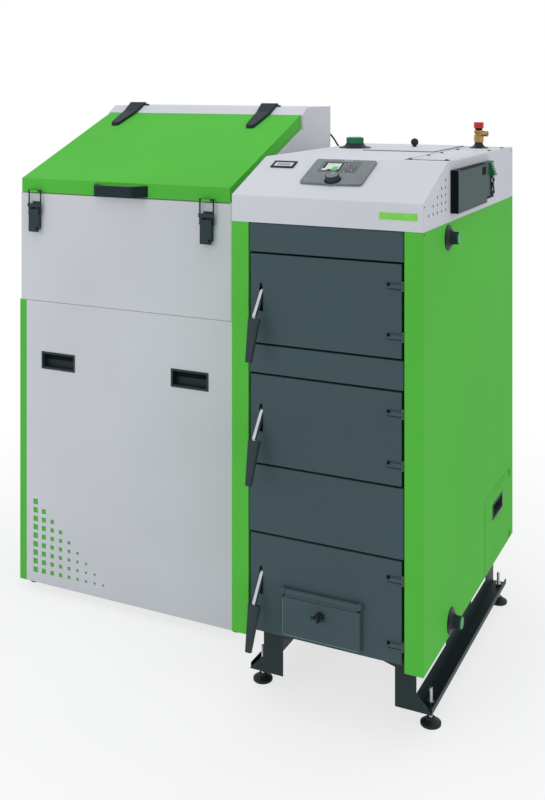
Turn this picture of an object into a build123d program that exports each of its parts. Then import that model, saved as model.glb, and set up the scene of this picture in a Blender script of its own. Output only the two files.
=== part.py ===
from build123d import *
import math
import os

# A pellet boiler with a storage hopper at its side.
# X runs to the right, Y to the back, Z up. The sizes below are drawn from the
# boiler casing's front left corner on the floor, and the finished model is
# moved so that the middle of its footprint is the origin.

# boiler casing
BOILER_W = 540.0
BOILER_D = 964.0
CASE_Z = 196.0
NOSE_H = 72.0
SLOPE_H = 90.0
SLOPE_RUN = 213.0
SHEET = 2.0
BEND_R = 4.0
BROW_R = 12.0
FLANGE_W = 50.0
FLANGE_D = 30.0
LIP = 14.0

# clearances
SEAM = 0.3
FIT = 0.05
HOLE_GAP = 1.5
PORT_GAP = 10.0
PORT_LOW_GAP = (5.0, 3.0)

# front doors from the bottom up, each with the fixed band above it
DOOR_FOOT = 18.0
DOOR_GAP = 6.0
DOOR_D = 30.0
DOORS = {
    "bottom": {"height": 260.0, "band": 178.0, "strap": 47.0, "slot": 95.0},
    "mid": {"height": 236.0, "band": 74.0, "strap": 53.0, "slot": 86.0},
    "top": {"height": 238.0, "band": 76.0, "strap": 55.0, "slot": 87.0},
}

# door hinges
HINGE_IN = 4.6
HINGE_Y = 1.0
PIN_R = 2.5
EYE_R = 3.4
EYE_GAP = 0.2
STRAP_L = 40.4
STRAP_H = 14.0
STRAP_T = 3.0
HINGE_PLAY = 0.4
LUG_H = 5.0
LUG_T = 3.6

# door levers
LEVER_IN = 31.0
LEVER_Y = 20.0
LEVER_DROP = 2.0
LEVER_T = 8.0
LEVER_W = 14.0
LEVER_LEAN = 38.0
LEVER_REACH = 92.0
SLOT_H = 66.0
BOSS_R = 9.0
PIVOT_R = 4.0
HOOK_T = 4.0
HOOK_LOW = 8.0
HOOK_SEAT = 2.5
HOOK_TIP = 9.5
KEEPER_OUT = 12.0
KEEPER_R = 2.5
KEEPER_LIFT = 1.5
KEEPER_T = 4.0
GRIP_LEAN = 18.0
GRIP_L = 118.0
GRIP_TOP = (34.0, 22.0)
GRIP_END = (17.0, 14.0)

# front frame and door linings
FRAME_Y = 42.0
FRAME_T = 8.0
MOUTH_IN = (112.0, 84.0)
MOUTH_INSET = 24.0
PLUG_GAP = 5.0
PLUG_DEPTH = 14.0
ROPE_T = 8.0
POCKET_SIDES = (21.0, 11.0)
POCKET_UP = 18.0
POCKET_DOWN = 70.0

# draught flap on the bottom door
FLAP_MIDDLE = 265.0
FLAP_W = 218.0
FLAP_H = 100.0
FLAP_UP = 13.0
FLAP_T = 4.0
FLAP_OUT = 14.0
AXLE_UP = 14.0
AXLE_R = 4.0
ROLL_R = 7.0
EAR_T = 10.0
EAR_OVER = 4.0
DRAUGHT_W = 72.0
DRAUGHT_H = 64.0
DRAUGHT_UP = 36.0
DRAUGHT_APART = 30.0
SCREW_R = 4.0
SCREW_HEAD_R = 11.0
SCREW_UP = 71.0

# water jacket and burner
JACKET_SIDE = 40.0
JACKET_FOOT = 14.0
JACKET_HEAD = 18.0
JACKET_REAR = 64.0
WALL = 40.0
FLOOR_T = 20.0
ROOF_T = 30.0
SHELF_UP = 20.0
SHELF_T = (60.0, 40.0)
SHELF_BACK_GAP = 120.0
ASH_SLOT_Y = (120.0, 220.0)
ASH_SIDE = 30.0
ASH_Y = (80.0, 740.0)
ASH_H = 95.0
ASH_LIP = (120.0, 12.0)
RETORT_HALF = 80.0
AIRBOX_H = 112.0
AIRBOX_WALL = 5.0
POT_R = 75.0
POT_BORE = 55.0
POT_H = 44.0

# flue and water connections
FLUE_R = 80.0
FLUE_WALL = 4.0
FLUE_PORT = 75.0
FLUE_DROP = 128.0
FLUE_L = 80.0
FLUE_PLATE = 20.0
FLUE_PLATE_T = 6.0
STUB_R = 17.0
STUB_WALL = 4.0
STUB_REACH = 28.0
STUB_SEAT = 6.0
SUPPLY_Y = 217.0
SUPPLY_DROP = 40.0
RETURN_Y = 240.0
RETURN_UP = 36.0

# moulded collars, plugs and the safety valve
RIM_T = 2.5
STUB_COLLAR = (34.5, 20.0, 12.0)
CAP_COLLAR = (52.0, 29.0, 15.0)
VALVE_COLLAR = (31.0, 12.5, 19.5)
CAP_AT = (84.0, 705.0)
CAP_R = 26.5
CAP_H = 18.0
CAP_RIBS = 16
CAP_RIB_R = 1.6
STUB_PLUG_RIM = 1.5
STUB_PLUG_T = 3.0
STUB_PLUG_L = 12.0
VALVE_AT = (455.0, 857.0)
VALVE_NUT = (16.0, 23.5)
VALVE_WAIST_R = 12.5
VALVE_DOME = (15.0, 17.0)
VALVE_NECK = (11.0, 5.0)
VALVE_OUTLET = (9.0, 6.0, 30.0)
VALVE_CAP = (15.5, 19.0)
VALVE_PIN = (3.0, 13.0)
CAP_FLUTES = 8
FLUTE_R = 3.0

# cover, service lid and console
VENT_R = 4.5
VENT_STEP = 20.0
VENT_COLUMNS = 5
VENT_COLUMN = 37.0
VENT_Y = 45.0
VENT_DROP = 35.0
LID_W = 228.0
LID_L = 335.0
LID_REAR = 38.0
LID_T = 3.0
LID_OVERLAP = 12.0
LID_PLAY = 1.0
LID_LIP = 10.0
LID_NOTCH = 6.0
KNOB_IN = (104.0, 198.0)
BALL_R = 12.5
BALL_LIFT = 3.0
BALL_NECK = 8.0
BALL_NECK_R = 6.0
PANEL_X = 170.0
PANEL_W = 178.0
PANEL_S = 75.0
PANEL_L = 138.0
PANEL_T = 7.0
PANEL_R = 8.0
PANEL_BOW = 3.0
WINDOW_IN = (28.0, 15.0)
WINDOW_SIZE = (112.0, 63.0)
WINDOW_SINK = 1.0
DIAL_IN = (91.0, 18.0)
DIAL_R = 20.0
DIAL_H = 15.0
DIAL_SHAFT_R = 3.0
DIAL_PLAY = 0.4
STATUS_X = 44.0
STATUS_W = 69.0
STATUS_S = 163.0
STATUS_L = 37.0
STATUS_T = 4.0
STATUS_FRAME = 6.0

# electronics box on the right cheek
EBOX_Y = 238.0
EBOX_L = 307.0
EBOX_UP = 22.0
EBOX_H = 117.0
EBOX_D = 22.0
EBOX_GROOVE = 3.0
STRIP_L = 94.0
STRIP_D = 18.0
STRIP_STEP = 8.0
SOCKET_L = 37.0
SOCKET_H = 15.0
SOCKET_DROPS = (62.0, 96.0)
SOCKET_OUT = 3.0
ROCKER_IN = (41.0, 20.5)
ROCKER_SIZE = (24.0, 22.0)
ROCKER_PIN_R = 1.5
ROCKER_TILT = -6.0
PLUG_IN = 32.0
PLUG_W = 22.0
PLUG_H = 38.0
PLUG_OUT = (6.0, 19.0)

# pellet feed
FEED_Y = 675.0
FEED_UP = 55.0
FEED_IN = 190.0
TUBE_R = 50.0
TUBE_WALL = 2.5
TUBE_FLANGE = 14.0
FLANGE_T = 4.0
SCREW_GAP = 1.5
SHAFT_R = 12.0
SHAFT_IN = 30.0
PITCH = 80.0
FLIGHT_T = 4.0
TROUGH_IN = 250.0
TROUGH_L = 320.0
TROUGH_UP = 3.0
GEAR_L = 90.0
GEAR_HALF = 55.0
GEAR_CHAMFER = 12.0
MOTOR_L = 80.0
MOTOR_R = 38.0
DUCT_R = 35.0
DUCT_WALL = 2.0
DUCT_APART = 135.0
BLOWER_IN = 150.0
SCROLL_R = 68.0
SCROLL_W = 60.0
SCROLL_DROP = 30.0
FAN_MOTOR_R = 40.0
FAN_MOTOR_L = 70.0

# base frame and feet
PLATE_T = 3.0
RAIL_X = 50.0
RAIL_Z = 50.0
RAIL_H = 41.0
RAIL_FOOT = 42.0
RAIL_LIP = 15.0
RAIL_FRONT = 95.0
RAIL_REAR = 56.0
END_TOP = 87.0
END_W = 58.0
END_NECK = (36.0, 43.0)
END_SHOULDER = 45.0
WEB_POST_IN = 295.0
WEB_POSTS = (230.0, 77.0)
WEB_SLANT = 16.0
DECK_OVER = 20.0
FOOT_IN = 25.0
FOOT_Y = (46.0, 34.0)
STUD_R = 5.0
FOOT_PAD = (27.5, 20.0)
STUD_OVER = 44.0
NUT_R = 9.0
NUT_H = 8.0

# hopper
HOPPER_W = 800.0
HOPPER_D = 770.0
HOPPER_GAP = 150.0
HOPPER_FRONT = 290.0
HOPPER_Z = 30.0
LOWER_H = 932.0
UPPER_H = 354.0
STRIP_W = 27.0
CORNER_R = 10.0
LID_RISE = 205.0
LID_RUN = 520.0
LID_INSET = 8.0
LID_GAP = 4.0
LID_H = 45.0
LEDGE_W = 25.0
CAP_GAP = 2.0
CAP_STEP = 1.0
CAP_SLANT = (41.0, 25.0)
CAP_FOOT = 22.0
CAP_TAIL = 96.0
HOLE_IN = (64.0, 41.0)
HOLE_STEP = (33.6, 28.1)
HOLE_SIZES = (18.0, 16.0, 14.0, 13.0, 11.0, 9.0, 8.0, 7.5, 7.0)
HOLE_MARGIN = 25.0
HOPPER_FOOT_IN = (16.0, 62.0)
HOPPER_PAD = (17.0, 10.0)
HOPPER_STUD = 26.0
FUNNEL_OVER = 38.0
FUNNEL_T = 3.0
SADDLE_IN = (310.0, 50.0)
SADDLE_HALF = 60.0
SADDLE_T = 6.0

# recessed grips
HATCH_Y = 614.0
HATCH_L = 286.0
HATCH_H = 215.0
HATCH_GAP = 1.0
HATCH_GRIP = (87.0, 116.0, 33.0, 41.0)
HOPPER_GRIP_IN = (93.0, 87.0)
HOPPER_GRIP_W = 125.0
HOPPER_GRIP_H = 49.0
HOPPER_GRIP_DROP = 169.0
CUP_D = 26.0
CUP_WALL = 2.5
CUP_LIP = 4.0
CUP_LIP_T = 1.5
CUP_GAP = 0.2

# hopper lid's hinges, handle and latches
HINGES_IN = (100.0, 150.0)
HINGE_W = 60.0
KNUCKLE_W = 40.0
KNUCKLE_R = 6.5
KNUCKLE_GAP = 0.5
HINGE_PIN_R = 2.5
HINGE_BACK = 9.0
HINGE_PLATE = 28.0
ARM_W = (60.0, 30.0)
ARM_L = 155.0
ARM_RISE = 49.0
ARM_T = 12.0
ARM_TIP_R = 9.0
HANDLE_IN = 298.8
HANDLE_W = 201.4
HANDLE_UP = 7.0
HANDLE_H = 35.0
HANDLE_OUT = 52.0
HANDLE_BEND = 32.5
HANDLE_T = 12.0
HANDLE_R = 16.0
LATCH_IN = (70.0, 83.0)
LATCH_PIN_R = 2.5
LATCH_OUT = 10.0
LATCH_DROP = 51.0
LATCH_HALF = 19.5
LATCH_L = 73.0
LATCH_EAR_R = 6.3
LATCH_EAR = (13.0, 16.5)
LATCH_BASE = (65.0, 25.0)
CHEEK_T = 2.5
CHEEK_EYE_R = 7.0
BAIL_BACK = (2.0, 12.0)
WIRE_R = 2.5
WIRE_X = 23.5
BAND_UP = (20.0, 32.0)
BAND_Y = (5.5, 1.0)
CATCH_HALF = 15.0
CATCH_UP = 1.5
CATCH_T = 3.2
CATCH_HOOK = 7.5
CATCH_HOOK_T = 2.3
CATCH_OUT = 19.0

# cord from the hopper's back to the cover's back
CORD_R = 3.25
GLAND_R = 9.0
GLAND_NECK_R = 6.0
GLAND_NECK = 7.0
GLAND_BODY = 20.0
CORD_ROUTE = [
    (-215.0, 1074.0, 1515.0),
    (-184.0, 1074.0, 1515.0),
    (-158.3, 1075.0, 1495.3),
    (-143.5, 1074.0, 1479.5),
    (-132.5, 1073.0, 1463.3),
    (-122.2, 1072.0, 1449.3),
    (-100.0, 1066.0, 1424.0),
    (-65.0, 1050.0, 1399.0),
    (-25.0, 1010.0, 1384.0),
    (-2.0, 990.0, 1379.0),
    (16.0, 980.0, 1377.0),
    (40.0, 980.0, 1377.0),
]


# general shapes


def block(x, y, z):
    """A block from its low and high value on each axis."""
    size = [high - low for low, high in (x, y, z)]
    centre = [(low + high) / 2 for low, high in (x, y, z)]
    return Pos(*centre) * Box(*size)


def rod_x(radius, x, y, z):
    return Pos((x[0] + x[1]) / 2, y, z) * Rot(0, 90, 0) * Cylinder(radius, x[1] - x[0])


def rod_y(radius, x, y, z):
    return Pos(x, (y[0] + y[1]) / 2, z) * Rot(90, 0, 0) * Cylinder(radius, y[1] - y[0])


def rod_z(radius, x, y, z):
    return Pos(x, y, (z[0] + z[1]) / 2) * Cylinder(radius, z[1] - z[0])


def outline(points):
    """A flat face with straight edges."""
    return make_face(Polyline(*points, close=True))


def folded(path, thickness=SHEET, side=Side.RIGHT):
    """The cut face of a folded sheet, whose outer skin runs along the path."""
    return make_face(offset(path, amount=thickness, side=side, kind=Kind.INTERSECTION))


def along_x(face, x):
    """Extrude a face drawn in Y and Z."""
    return extrude(Plane.YZ.offset(x[0]) * face, x[1] - x[0])


def along_y(face, y):
    """Extrude a face drawn in X and Z."""
    return extrude(Plane.XZ.offset(-y[0]) * face, y[0] - y[1])


def along_z(face, z):
    """Extrude a face drawn in X and Y."""
    return extrude(Plane.XY.offset(z[0]) * face, z[1] - z[0])


def mirrored(shape):
    """The same shape on the boiler's other side."""
    return mirror(shape, about=Plane.YZ.offset(BOILER_W / 2))


def around(middle, width):
    return (middle - width / 2, middle + width / 2)


def trumpet(collar, bore=0):
    """A collar that stands on the origin: a thin rim, then a hollow curve up to its neck."""
    foot_r, neck_r, height = collar
    start, end = (foot_r, RIM_T), (neck_r, height)
    middle = (neck_r + 0.3 * (foot_r - neck_r), RIM_T + 0.3 * (height - RIM_T))
    curve = ThreePointArc(start, middle, end)
    sides = Polyline(end, (bore, height), (bore, 0), (foot_r, 0), start)
    return revolve(Plane.XZ * make_face(curve.edges() + sides.edges()))


# places worked out from the sizes above


def stack_doors():
    """Low and high edge of each door and of the fixed band above it."""
    spans = {}
    z = CASE_Z + DOOR_FOOT
    for name, door in DOORS.items():
        door_z = (z, z + door["height"])
        band_z = (door_z[1] + DOOR_GAP, door_z[1] + DOOR_GAP + door["band"])
        spans[name] = {"door": door_z, "band": band_z}
        z = band_z[1] + DOOR_GAP
    return spans


SPANS = stack_doors()
SHOULDER_Z = SPANS["top"]["band"][1] + SHEET
NOSE_Z = SHOULDER_Z + NOSE_H
COVER_Z = NOSE_Z + SLOPE_H
MIDDLE = BOILER_W / 2

HINGE_X = BOILER_W - FLANGE_W - HINGE_IN
LEVER_X = FLANGE_W + DOOR_GAP + LEVER_IN
DOOR_X = (FLANGE_W + DOOR_GAP, HINGE_X - EYE_R - EYE_GAP)
MOUTH_X = (MOUTH_IN[0], BOILER_W - MOUTH_IN[1])
POCKET_X = (LEVER_X - POCKET_SIDES[0], LEVER_X + POCKET_SIDES[1])

JACKET_X = (JACKET_SIDE, BOILER_W - JACKET_SIDE)
JACKET_Z = (CASE_Z + JACKET_FOOT, SHOULDER_Z - JACKET_HEAD)
JACKET_BACK = BOILER_D - JACKET_REAR
SHELVES = [
    (SPANS[name]["band"][0] + SHELF_UP, SPANS[name]["band"][0] + SHELF_UP + thickness)
    for name, thickness in zip(("bottom", "mid"), SHELF_T)
]
FLUE_Z = SHOULDER_Z - FLUE_DROP
STUBS = ((SUPPLY_Y, SHOULDER_Z - SUPPLY_DROP), (RETURN_Y, CASE_Z + RETURN_UP))
RAIL_Y = (RAIL_FRONT, BOILER_D - RAIL_REAR)
DECK_Y = (FRAME_Y + FRAME_T, BOILER_D - FLANGE_D - LIP)

HOPPER_X = (-HOPPER_GAP - HOPPER_W, -HOPPER_GAP)
HOPPER_Y = (HOPPER_FRONT, HOPPER_FRONT + HOPPER_D)
SEAM_Z = HOPPER_Z + LOWER_H
RIM_Z = SEAM_Z + UPPER_H
LID_X = (HOPPER_X[0] + LID_INSET, HOPPER_X[1] - LID_INSET)
LID_LOW = RIM_Z + LID_GAP
CAP_FRONT = HOPPER_Y[0] + LID_RUN + CAP_GAP
CAP_LIP_Z = LID_LOW + LID_RISE + LID_H + CAP_STEP
CAP_TOP = (CAP_FRONT + CAP_SLANT[0], CAP_LIP_Z + CAP_SLANT[1])
LID_PIVOT = (CAP_TOP[0] + HINGE_BACK, CAP_TOP[1] + KNUCKLE_R + KNUCKLE_GAP)
HINGE_XS = (HOPPER_X[0] + HINGES_IN[0], HOPPER_X[1] - HINGES_IN[1])
LATCH_XS = {"left": HOPPER_X[0] + LATCH_IN[0], "right": HOPPER_X[1] - LATCH_IN[1]}
LATCH_PIN = (HOPPER_Y[0] - LATCH_OUT, RIM_Z - LATCH_DROP)
BAIL_PIN = (LATCH_PIN[0] - BAIL_BACK[0], LATCH_PIN[1] - BAIL_BACK[1])
CATCH_Z = LID_LOW + CATCH_UP
HANDLE_X = (HOPPER_X[0] + HANDLE_IN, HOPPER_X[0] + HANDLE_IN + HANDLE_W)
HANDLE_Y = HOPPER_Y[0] - HANDLE_OUT
HANDLE_Z = (RIM_Z + HANDLE_UP, RIM_Z + HANDLE_UP + HANDLE_H)

RETORT_X = MIDDLE
ASH_X = (JACKET_X[0] + WALL + ASH_SIDE, JACKET_X[1] - WALL - ASH_SIDE)
ASH_Z = (JACKET_Z[0] + FLOOR_T, JACKET_Z[0] + FLOOR_T + ASH_H)
FEED_Z = SHELVES[0][1] + FEED_UP
FEED_X = (HOPPER_X[0] + FEED_IN, RETORT_X - RETORT_HALF)
TROUGH_X = (HOPPER_X[0] + TROUGH_IN, HOPPER_X[0] + TROUGH_IN + TROUGH_L)
FUNNEL_LOW = FEED_Z + TUBE_R + TROUGH_UP
FUNNEL_TOP = SEAM_Z + FUNNEL_OVER
DUCT_Y = FEED_Y - DUCT_APART
AIRBOX_FRONT = DUCT_Y - DUCT_R - AIRBOX_WALL
AIRBOX_TOP = SHELVES[0][1] + AIRBOX_H
BLOWER_X = HOPPER_X[1] - BLOWER_IN
PORT_Y = (DUCT_Y - DUCT_R - PORT_LOW_GAP[0], FEED_Y + TUBE_R + PORT_GAP)
PORT_Z = (FEED_Z - TUBE_R - PORT_LOW_GAP[1], FEED_Z + TUBE_R + PORT_GAP)
HOPPER_GRIPS_X = (
    (HOPPER_X[0] + HOPPER_GRIP_IN[0], HOPPER_X[0] + HOPPER_GRIP_IN[0] + HOPPER_GRIP_W),
    (HOPPER_X[1] - HOPPER_GRIP_IN[1] - HOPPER_GRIP_W, HOPPER_X[1] - HOPPER_GRIP_IN[1]),
)
HOPPER_GRIP_Z = (SEAM_Z - HOPPER_GRIP_DROP - HOPPER_GRIP_H, SEAM_Z - HOPPER_GRIP_DROP)
HATCH_GRIP_Y = (HATCH_Y + HATCH_GRIP[0], HATCH_Y + HATCH_GRIP[0] + HATCH_GRIP[1])
HATCH_TOP = CASE_Z + HATCH_H
HATCH_GRIP_Z = (HATCH_TOP - HATCH_GRIP[2] - HATCH_GRIP[3], HATCH_TOP - HATCH_GRIP[2])

FLAP_X = around(FLAP_MIDDLE, FLAP_W)
FLAP_Z = (SPANS["bottom"]["door"][0] + FLAP_UP, SPANS["bottom"]["door"][0] + FLAP_UP + FLAP_H)
FLAP_Y = (SHEET - FLAP_OUT, SHEET - FLAP_OUT + FLAP_T)
AXLE_Y = FLAP_Y[0] + FLAP_T + 1
AXLE_Z = FLAP_Z[1] + AXLE_UP
SCREW_AT = (FLAP_MIDDLE, FLAP_Z[0] + SCREW_UP)
DRAUGHT_Z = (SPANS["bottom"]["door"][0] + DRAUGHT_UP, SPANS["bottom"]["door"][0] + DRAUGHT_UP + DRAUGHT_H)
DRAUGHTS_X = (
    (FLAP_MIDDLE - DRAUGHT_APART / 2 - DRAUGHT_W, FLAP_MIDDLE - DRAUGHT_APART / 2),
    (FLAP_MIDDLE + DRAUGHT_APART / 2, FLAP_MIDDLE + DRAUGHT_APART / 2 + DRAUGHT_W),
)

EBOX_Z = (SHOULDER_Z + EBOX_UP, SHOULDER_Z + EBOX_UP + EBOX_H)
ROCKER_AT = (EBOX_Y + EBOX_L - ROCKER_IN[0], EBOX_Z[1] - ROCKER_IN[1])
VALVE_TOP = COVER_Z + VALVE_COLLAR[2] + VALVE_NUT[1] + VALVE_DOME[1] + VALVE_NECK[1]

SLOPE = Plane(origin=(0, 0, NOSE_Z), x_dir=(1, 0, 0), z_dir=(0, -SLOPE_H, SLOPE_RUN))
LID_SLOPE = Plane(origin=(0, HOPPER_Y[0], RIM_Z), x_dir=(1, 0, 0), z_dir=(0, -LID_RISE, LID_RUN))


def slot_top(name):
    return SPANS[name]["door"][1] - DOORS[name]["slot"]


def strap_places(name):
    low, high = SPANS[name]["door"]
    return (low + DOORS[name]["strap"], high - DOORS[name]["strap"])


def mouth_z(name):
    low, high = SPANS[name]["door"]
    return (low + MOUTH_INSET, high - MOUTH_INSET)


def rising(y):
    """Height of the hopper's sloped rim at a distance from the front."""
    return RIM_Z + (y - HOPPER_Y[0]) * LID_RISE / LID_RUN


def up_slope(run):
    """Length along the hopper's sloped rim for a run on the level."""
    return run / LID_RUN * math.hypot(LID_RUN, LID_RISE)


# boiler casing


def side_panel():
    """Left panel, folded round the front and back edges."""
    line = Polyline((FLANGE_W, FLANGE_D), (FLANGE_W, 0), (0, 0), (0, BOILER_D), (FLANGE_D, BOILER_D))
    return along_z(folded(line), (CASE_Z, SHOULDER_Z))


def side_panel_left():
    hole = block((-1, SHEET + 1), PORT_Y, PORT_Z)
    return [side_panel() - hole]


def side_panel_right():
    panel = mirrored(side_panel())
    through = (BOILER_W - SHEET - 1, BOILER_W + 1)
    panel -= block(through, (HATCH_Y, HATCH_Y + HATCH_L), (CASE_Z - 1, HATCH_TOP))
    for y, z in STUBS:
        panel -= rod_x(STUB_R + HOLE_GAP, through, y, z)
    return [panel]


def hatch_panel():
    """Inspection hatch, with a rebate behind the side panel round it."""
    outer = (BOILER_W - SHEET, BOILER_W)
    inner = (BOILER_W - 2 * SHEET, BOILER_W - SHEET)
    face = (HATCH_Y + HATCH_GAP, HATCH_Y + HATCH_L - HATCH_GAP)
    back = (HATCH_Y - LIP, HATCH_Y + HATCH_L + LIP)
    hatch = block(outer, face, (CASE_Z, HATCH_TOP - HATCH_GAP))
    hatch += block(inner, back, (CASE_Z + HATCH_GAP, HATCH_TOP + LIP))
    hatch -= block((inner[0] - 1, outer[1] + 1), HATCH_GRIP_Y, HATCH_GRIP_Z)
    return [hatch]


def rear_panel():
    inner = (SHEET, BOILER_W - SHEET)
    y = (BOILER_D - 2 * SHEET, BOILER_D - SHEET)
    panel = block(inner, y, (CASE_Z, SHOULDER_Z))
    panel -= rod_y(FLUE_R + HOLE_GAP, MIDDLE, (y[0] - 1, y[1] + 1), FLUE_Z)
    return [panel]


def hood_cheek(wire):
    """Left cheek of the cover, with its tongue and a triangle of round vents."""
    cheek = along_x(make_face(wire.edges() + Line(wire @ 1, wire @ 0).edges()), (0, SHEET))
    tongue_y = (DECK_Y[0] + LIP, DECK_Y[1])
    cheek += block((SHEET, 2 * SHEET), tongue_y, (SHOULDER_Z - LIP, SHOULDER_Z + LIP))
    vents = []
    for column in range(VENT_COLUMNS):
        for row in range(column + 1):
            y = VENT_Y + VENT_COLUMN * column
            z = NOSE_Z - VENT_DROP + VENT_STEP * row
            vents.append(rod_x(VENT_R, (-1, SHEET + 1), y, z))
    return cheek - vents


def cover_hood():
    """One folded cover: front, slope, top and back, with a cheek each side."""
    line = FilletPolyline(
        (0, SHOULDER_Z),
        (0, NOSE_Z),
        (SLOPE_RUN, COVER_Z),
        (BOILER_D, COVER_Z),
        (BOILER_D, SHOULDER_Z),
        radius=(BEND_R, BROW_R, BEND_R),
    )
    cheek = hood_cheek(line)
    hood = along_x(folded(line), (0, BOILER_W)) + cheek + mirrored(cheek)
    mouth_x = around(MIDDLE, LID_W - 2 * LID_OVERLAP)
    mouth_y = (lid_y()[0] + LID_OVERLAP, lid_y()[1] - LID_OVERLAP)
    hood -= block(mouth_x, mouth_y, (COVER_Z - SHEET - 1, COVER_Z + 1))
    return [hood]


def lid_y():
    """Front and back of the service lid."""
    back = BOILER_D - LID_REAR
    return (back - LID_L, back)


def service_lid():
    """Loose lid with four folded lips that drop into the cover's mouth."""
    lid = block(around(MIDDLE, LID_W), lid_y(), (COVER_Z, COVER_Z + LID_T))
    inset = LID_OVERLAP + LID_PLAY
    x = around(MIDDLE, LID_W - 2 * inset)
    y = (lid_y()[0] + inset, lid_y()[1] - inset)
    z = (COVER_Z - LID_LIP, COVER_Z)
    for edge in (x[0], x[1] - SHEET):
        lid += block((edge, edge + SHEET), (y[0] + LID_NOTCH, y[1] - LID_NOTCH), z)
    for edge in (y[0], y[1] - SHEET):
        lid += block((x[0] + LID_NOTCH, x[1] - LID_NOTCH), (edge, edge + SHEET), z)
    return [lid]


def service_knob():
    """Ball knob on a short neck."""
    x, y = MIDDLE - LID_W / 2 + KNOB_IN[0], lid_y()[0] + KNOB_IN[1]
    base = COVER_Z + LID_T
    neck = rod_z(BALL_NECK_R, x, y, (base, base + BALL_NECK))
    ball = Pos(x, y, base + BALL_LIFT + BALL_R) * Sphere(BALL_R)
    return [neck + ball]


def control_panel():
    """Console plate with round corners and a bowed front, a sunk window for its
    screen and the knob's bore."""
    x0, x1 = PANEL_X, PANEL_X + PANEL_W
    s0, s1 = PANEL_S, PANEL_S + PANEL_L
    front = ThreePointArc((x0, s0), ((x0 + x1) / 2, s0 - PANEL_BOW), (x1, s0))
    sides = Polyline((x1, s0), (x1, s1), (x0, s1), (x0, s0))
    face = make_face(front.edges() + sides.edges())
    plate = extrude(fillet(face.vertices(), PANEL_R), PANEL_T)
    window_x = (x0 + WINDOW_IN[0], x0 + WINDOW_IN[0] + WINDOW_SIZE[0])
    window_s = (s1 - WINDOW_IN[1] - WINDOW_SIZE[1], s1 - WINDOW_IN[1])
    plate -= block(window_x, window_s, (PANEL_T - WINDOW_SINK, PANEL_T + 1))
    plate -= rod_z(DIAL_SHAFT_R + FIT, *dial_at(), (-1, PANEL_T + 1))
    return [SLOPE * plate]


def dial_at():
    """The knob's axis on the slope."""
    return (PANEL_X + DIAL_IN[0], PANEL_S + DIAL_IN[1])


def control_knob():
    """Rotary knob with a drafted skirt, on its shaft."""
    knob = Pos(0, 0, PANEL_T + DIAL_PLAY) * extrude(Circle(DIAL_R), DIAL_H, taper=6)
    knob += rod_z(DIAL_SHAFT_R, 0, 0, (SEAM, PANEL_T + 2 * DIAL_PLAY))
    return [SLOPE * Pos(*dial_at(), 0) * knob]


def status_display():
    """Small display: a raised frame round a sunk window."""
    x = (STATUS_X, STATUS_X + STATUS_W)
    s = (STATUS_S, STATUS_S + STATUS_L)
    frame = block(x, s, (0, STATUS_T))
    inner_x = (x[0] + STATUS_FRAME, x[1] - STATUS_FRAME)
    inner_s = (s[0] + STATUS_FRAME, s[1] - STATUS_FRAME)
    frame -= block(inner_x, inner_s, (STATUS_T / 2, STATUS_T + 1))
    return [SLOPE * frame]


def electronics_box():
    """Box on the right cheek: a cover with a groove down its front side, and a
    lower strip behind it that holds the sockets."""
    face = BOILER_W + EBOX_D
    end = EBOX_Y + EBOX_L
    box = block((BOILER_W, face), (EBOX_Y, end), EBOX_Z)
    groove_x = (BOILER_W + EBOX_D / 3, BOILER_W + EBOX_D / 3 + EBOX_GROOVE)
    box -= block(groove_x, (EBOX_Y - 1, EBOX_Y + SHEET), (EBOX_Z[0] - 1, EBOX_Z[1] + 1))
    y = around(ROCKER_AT[0], ROCKER_SIZE[0] + 1)
    z = around(ROCKER_AT[1], ROCKER_SIZE[1] + 1)
    box -= block((face - 9, face + 1), y, z)
    pin = rod_z(ROCKER_PIN_R, face - 2, ROCKER_AT[0], (z[0] - 1, z[1] + 1))
    strip = block((BOILER_W, BOILER_W + STRIP_D), (end, end + STRIP_L), (EBOX_Z[0] + STRIP_STEP, EBOX_Z[1]))
    sockets = []
    for drop in SOCKET_DROPS:
        high = EBOX_Z[1] - drop + SOCKET_H
        y = (end + STRIP_L - SOCKET_L - SHEET, end + STRIP_L - SHEET)
        x = (BOILER_W + STRIP_D, BOILER_W + STRIP_D + SOCKET_OUT)
        sockets.append(block(x, y, (high - SOCKET_H, high)))
    return [box + pin, strip] + sockets


def rocker_switch():
    """Rocker with two sloping faces, on a pin."""
    x = BOILER_W + EBOX_D
    half = ROCKER_SIZE[0] / 2
    shape = [(x - 2, -half), (x + 3, -half), (x + 1, 0), (x + 3, half), (x - 2, half), (x - 5, 0)]
    z = around(ROCKER_AT[1], ROCKER_SIZE[1])
    rocker = Pos(x - 2, 0, 0) * Rot(0, 0, ROCKER_TILT) * Pos(2 - x, 0, 0) * along_z(outline(shape), z)
    rocker = Pos(0, ROCKER_AT[0], 0) * rocker
    rocker -= rod_z(ROCKER_PIN_R + FIT, x - 2, ROCKER_AT[0], (z[0] - 1, z[1] + 1))
    return [rocker]


# front frame, bands and doors


def front_bands():
    """Fixed trays between the doors, folded back to the front frame."""
    bands = []
    for span in SPANS.values():
        low, high = span["band"]
        line = Polyline((FRAME_Y, low), (SHEET, low), (SHEET, high), (FRAME_Y, high))
        bands.append(along_x(folded(line), (FLANGE_W + 2, BOILER_W - FLANGE_W - 3)))
    return bands


def hinge_bracket(z):
    """Two lugs from the right jamb, and the pin between them."""
    lug = rod_z(EYE_R, HINGE_X, HINGE_Y, (0, LUG_H))
    lug += block(around(HINGE_X, LUG_T), (HINGE_Y, FRAME_Y), (0, LUG_H))
    reach = STRAP_H / 2 + HINGE_PLAY
    bracket = Pos(0, 0, z + reach) * lug
    bracket += Pos(0, 0, z - reach - LUG_H) * lug
    bracket += rod_z(PIN_R, HINGE_X, HINGE_Y, (z - reach - LUG_H, z + reach + LUG_H))
    return bracket


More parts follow.
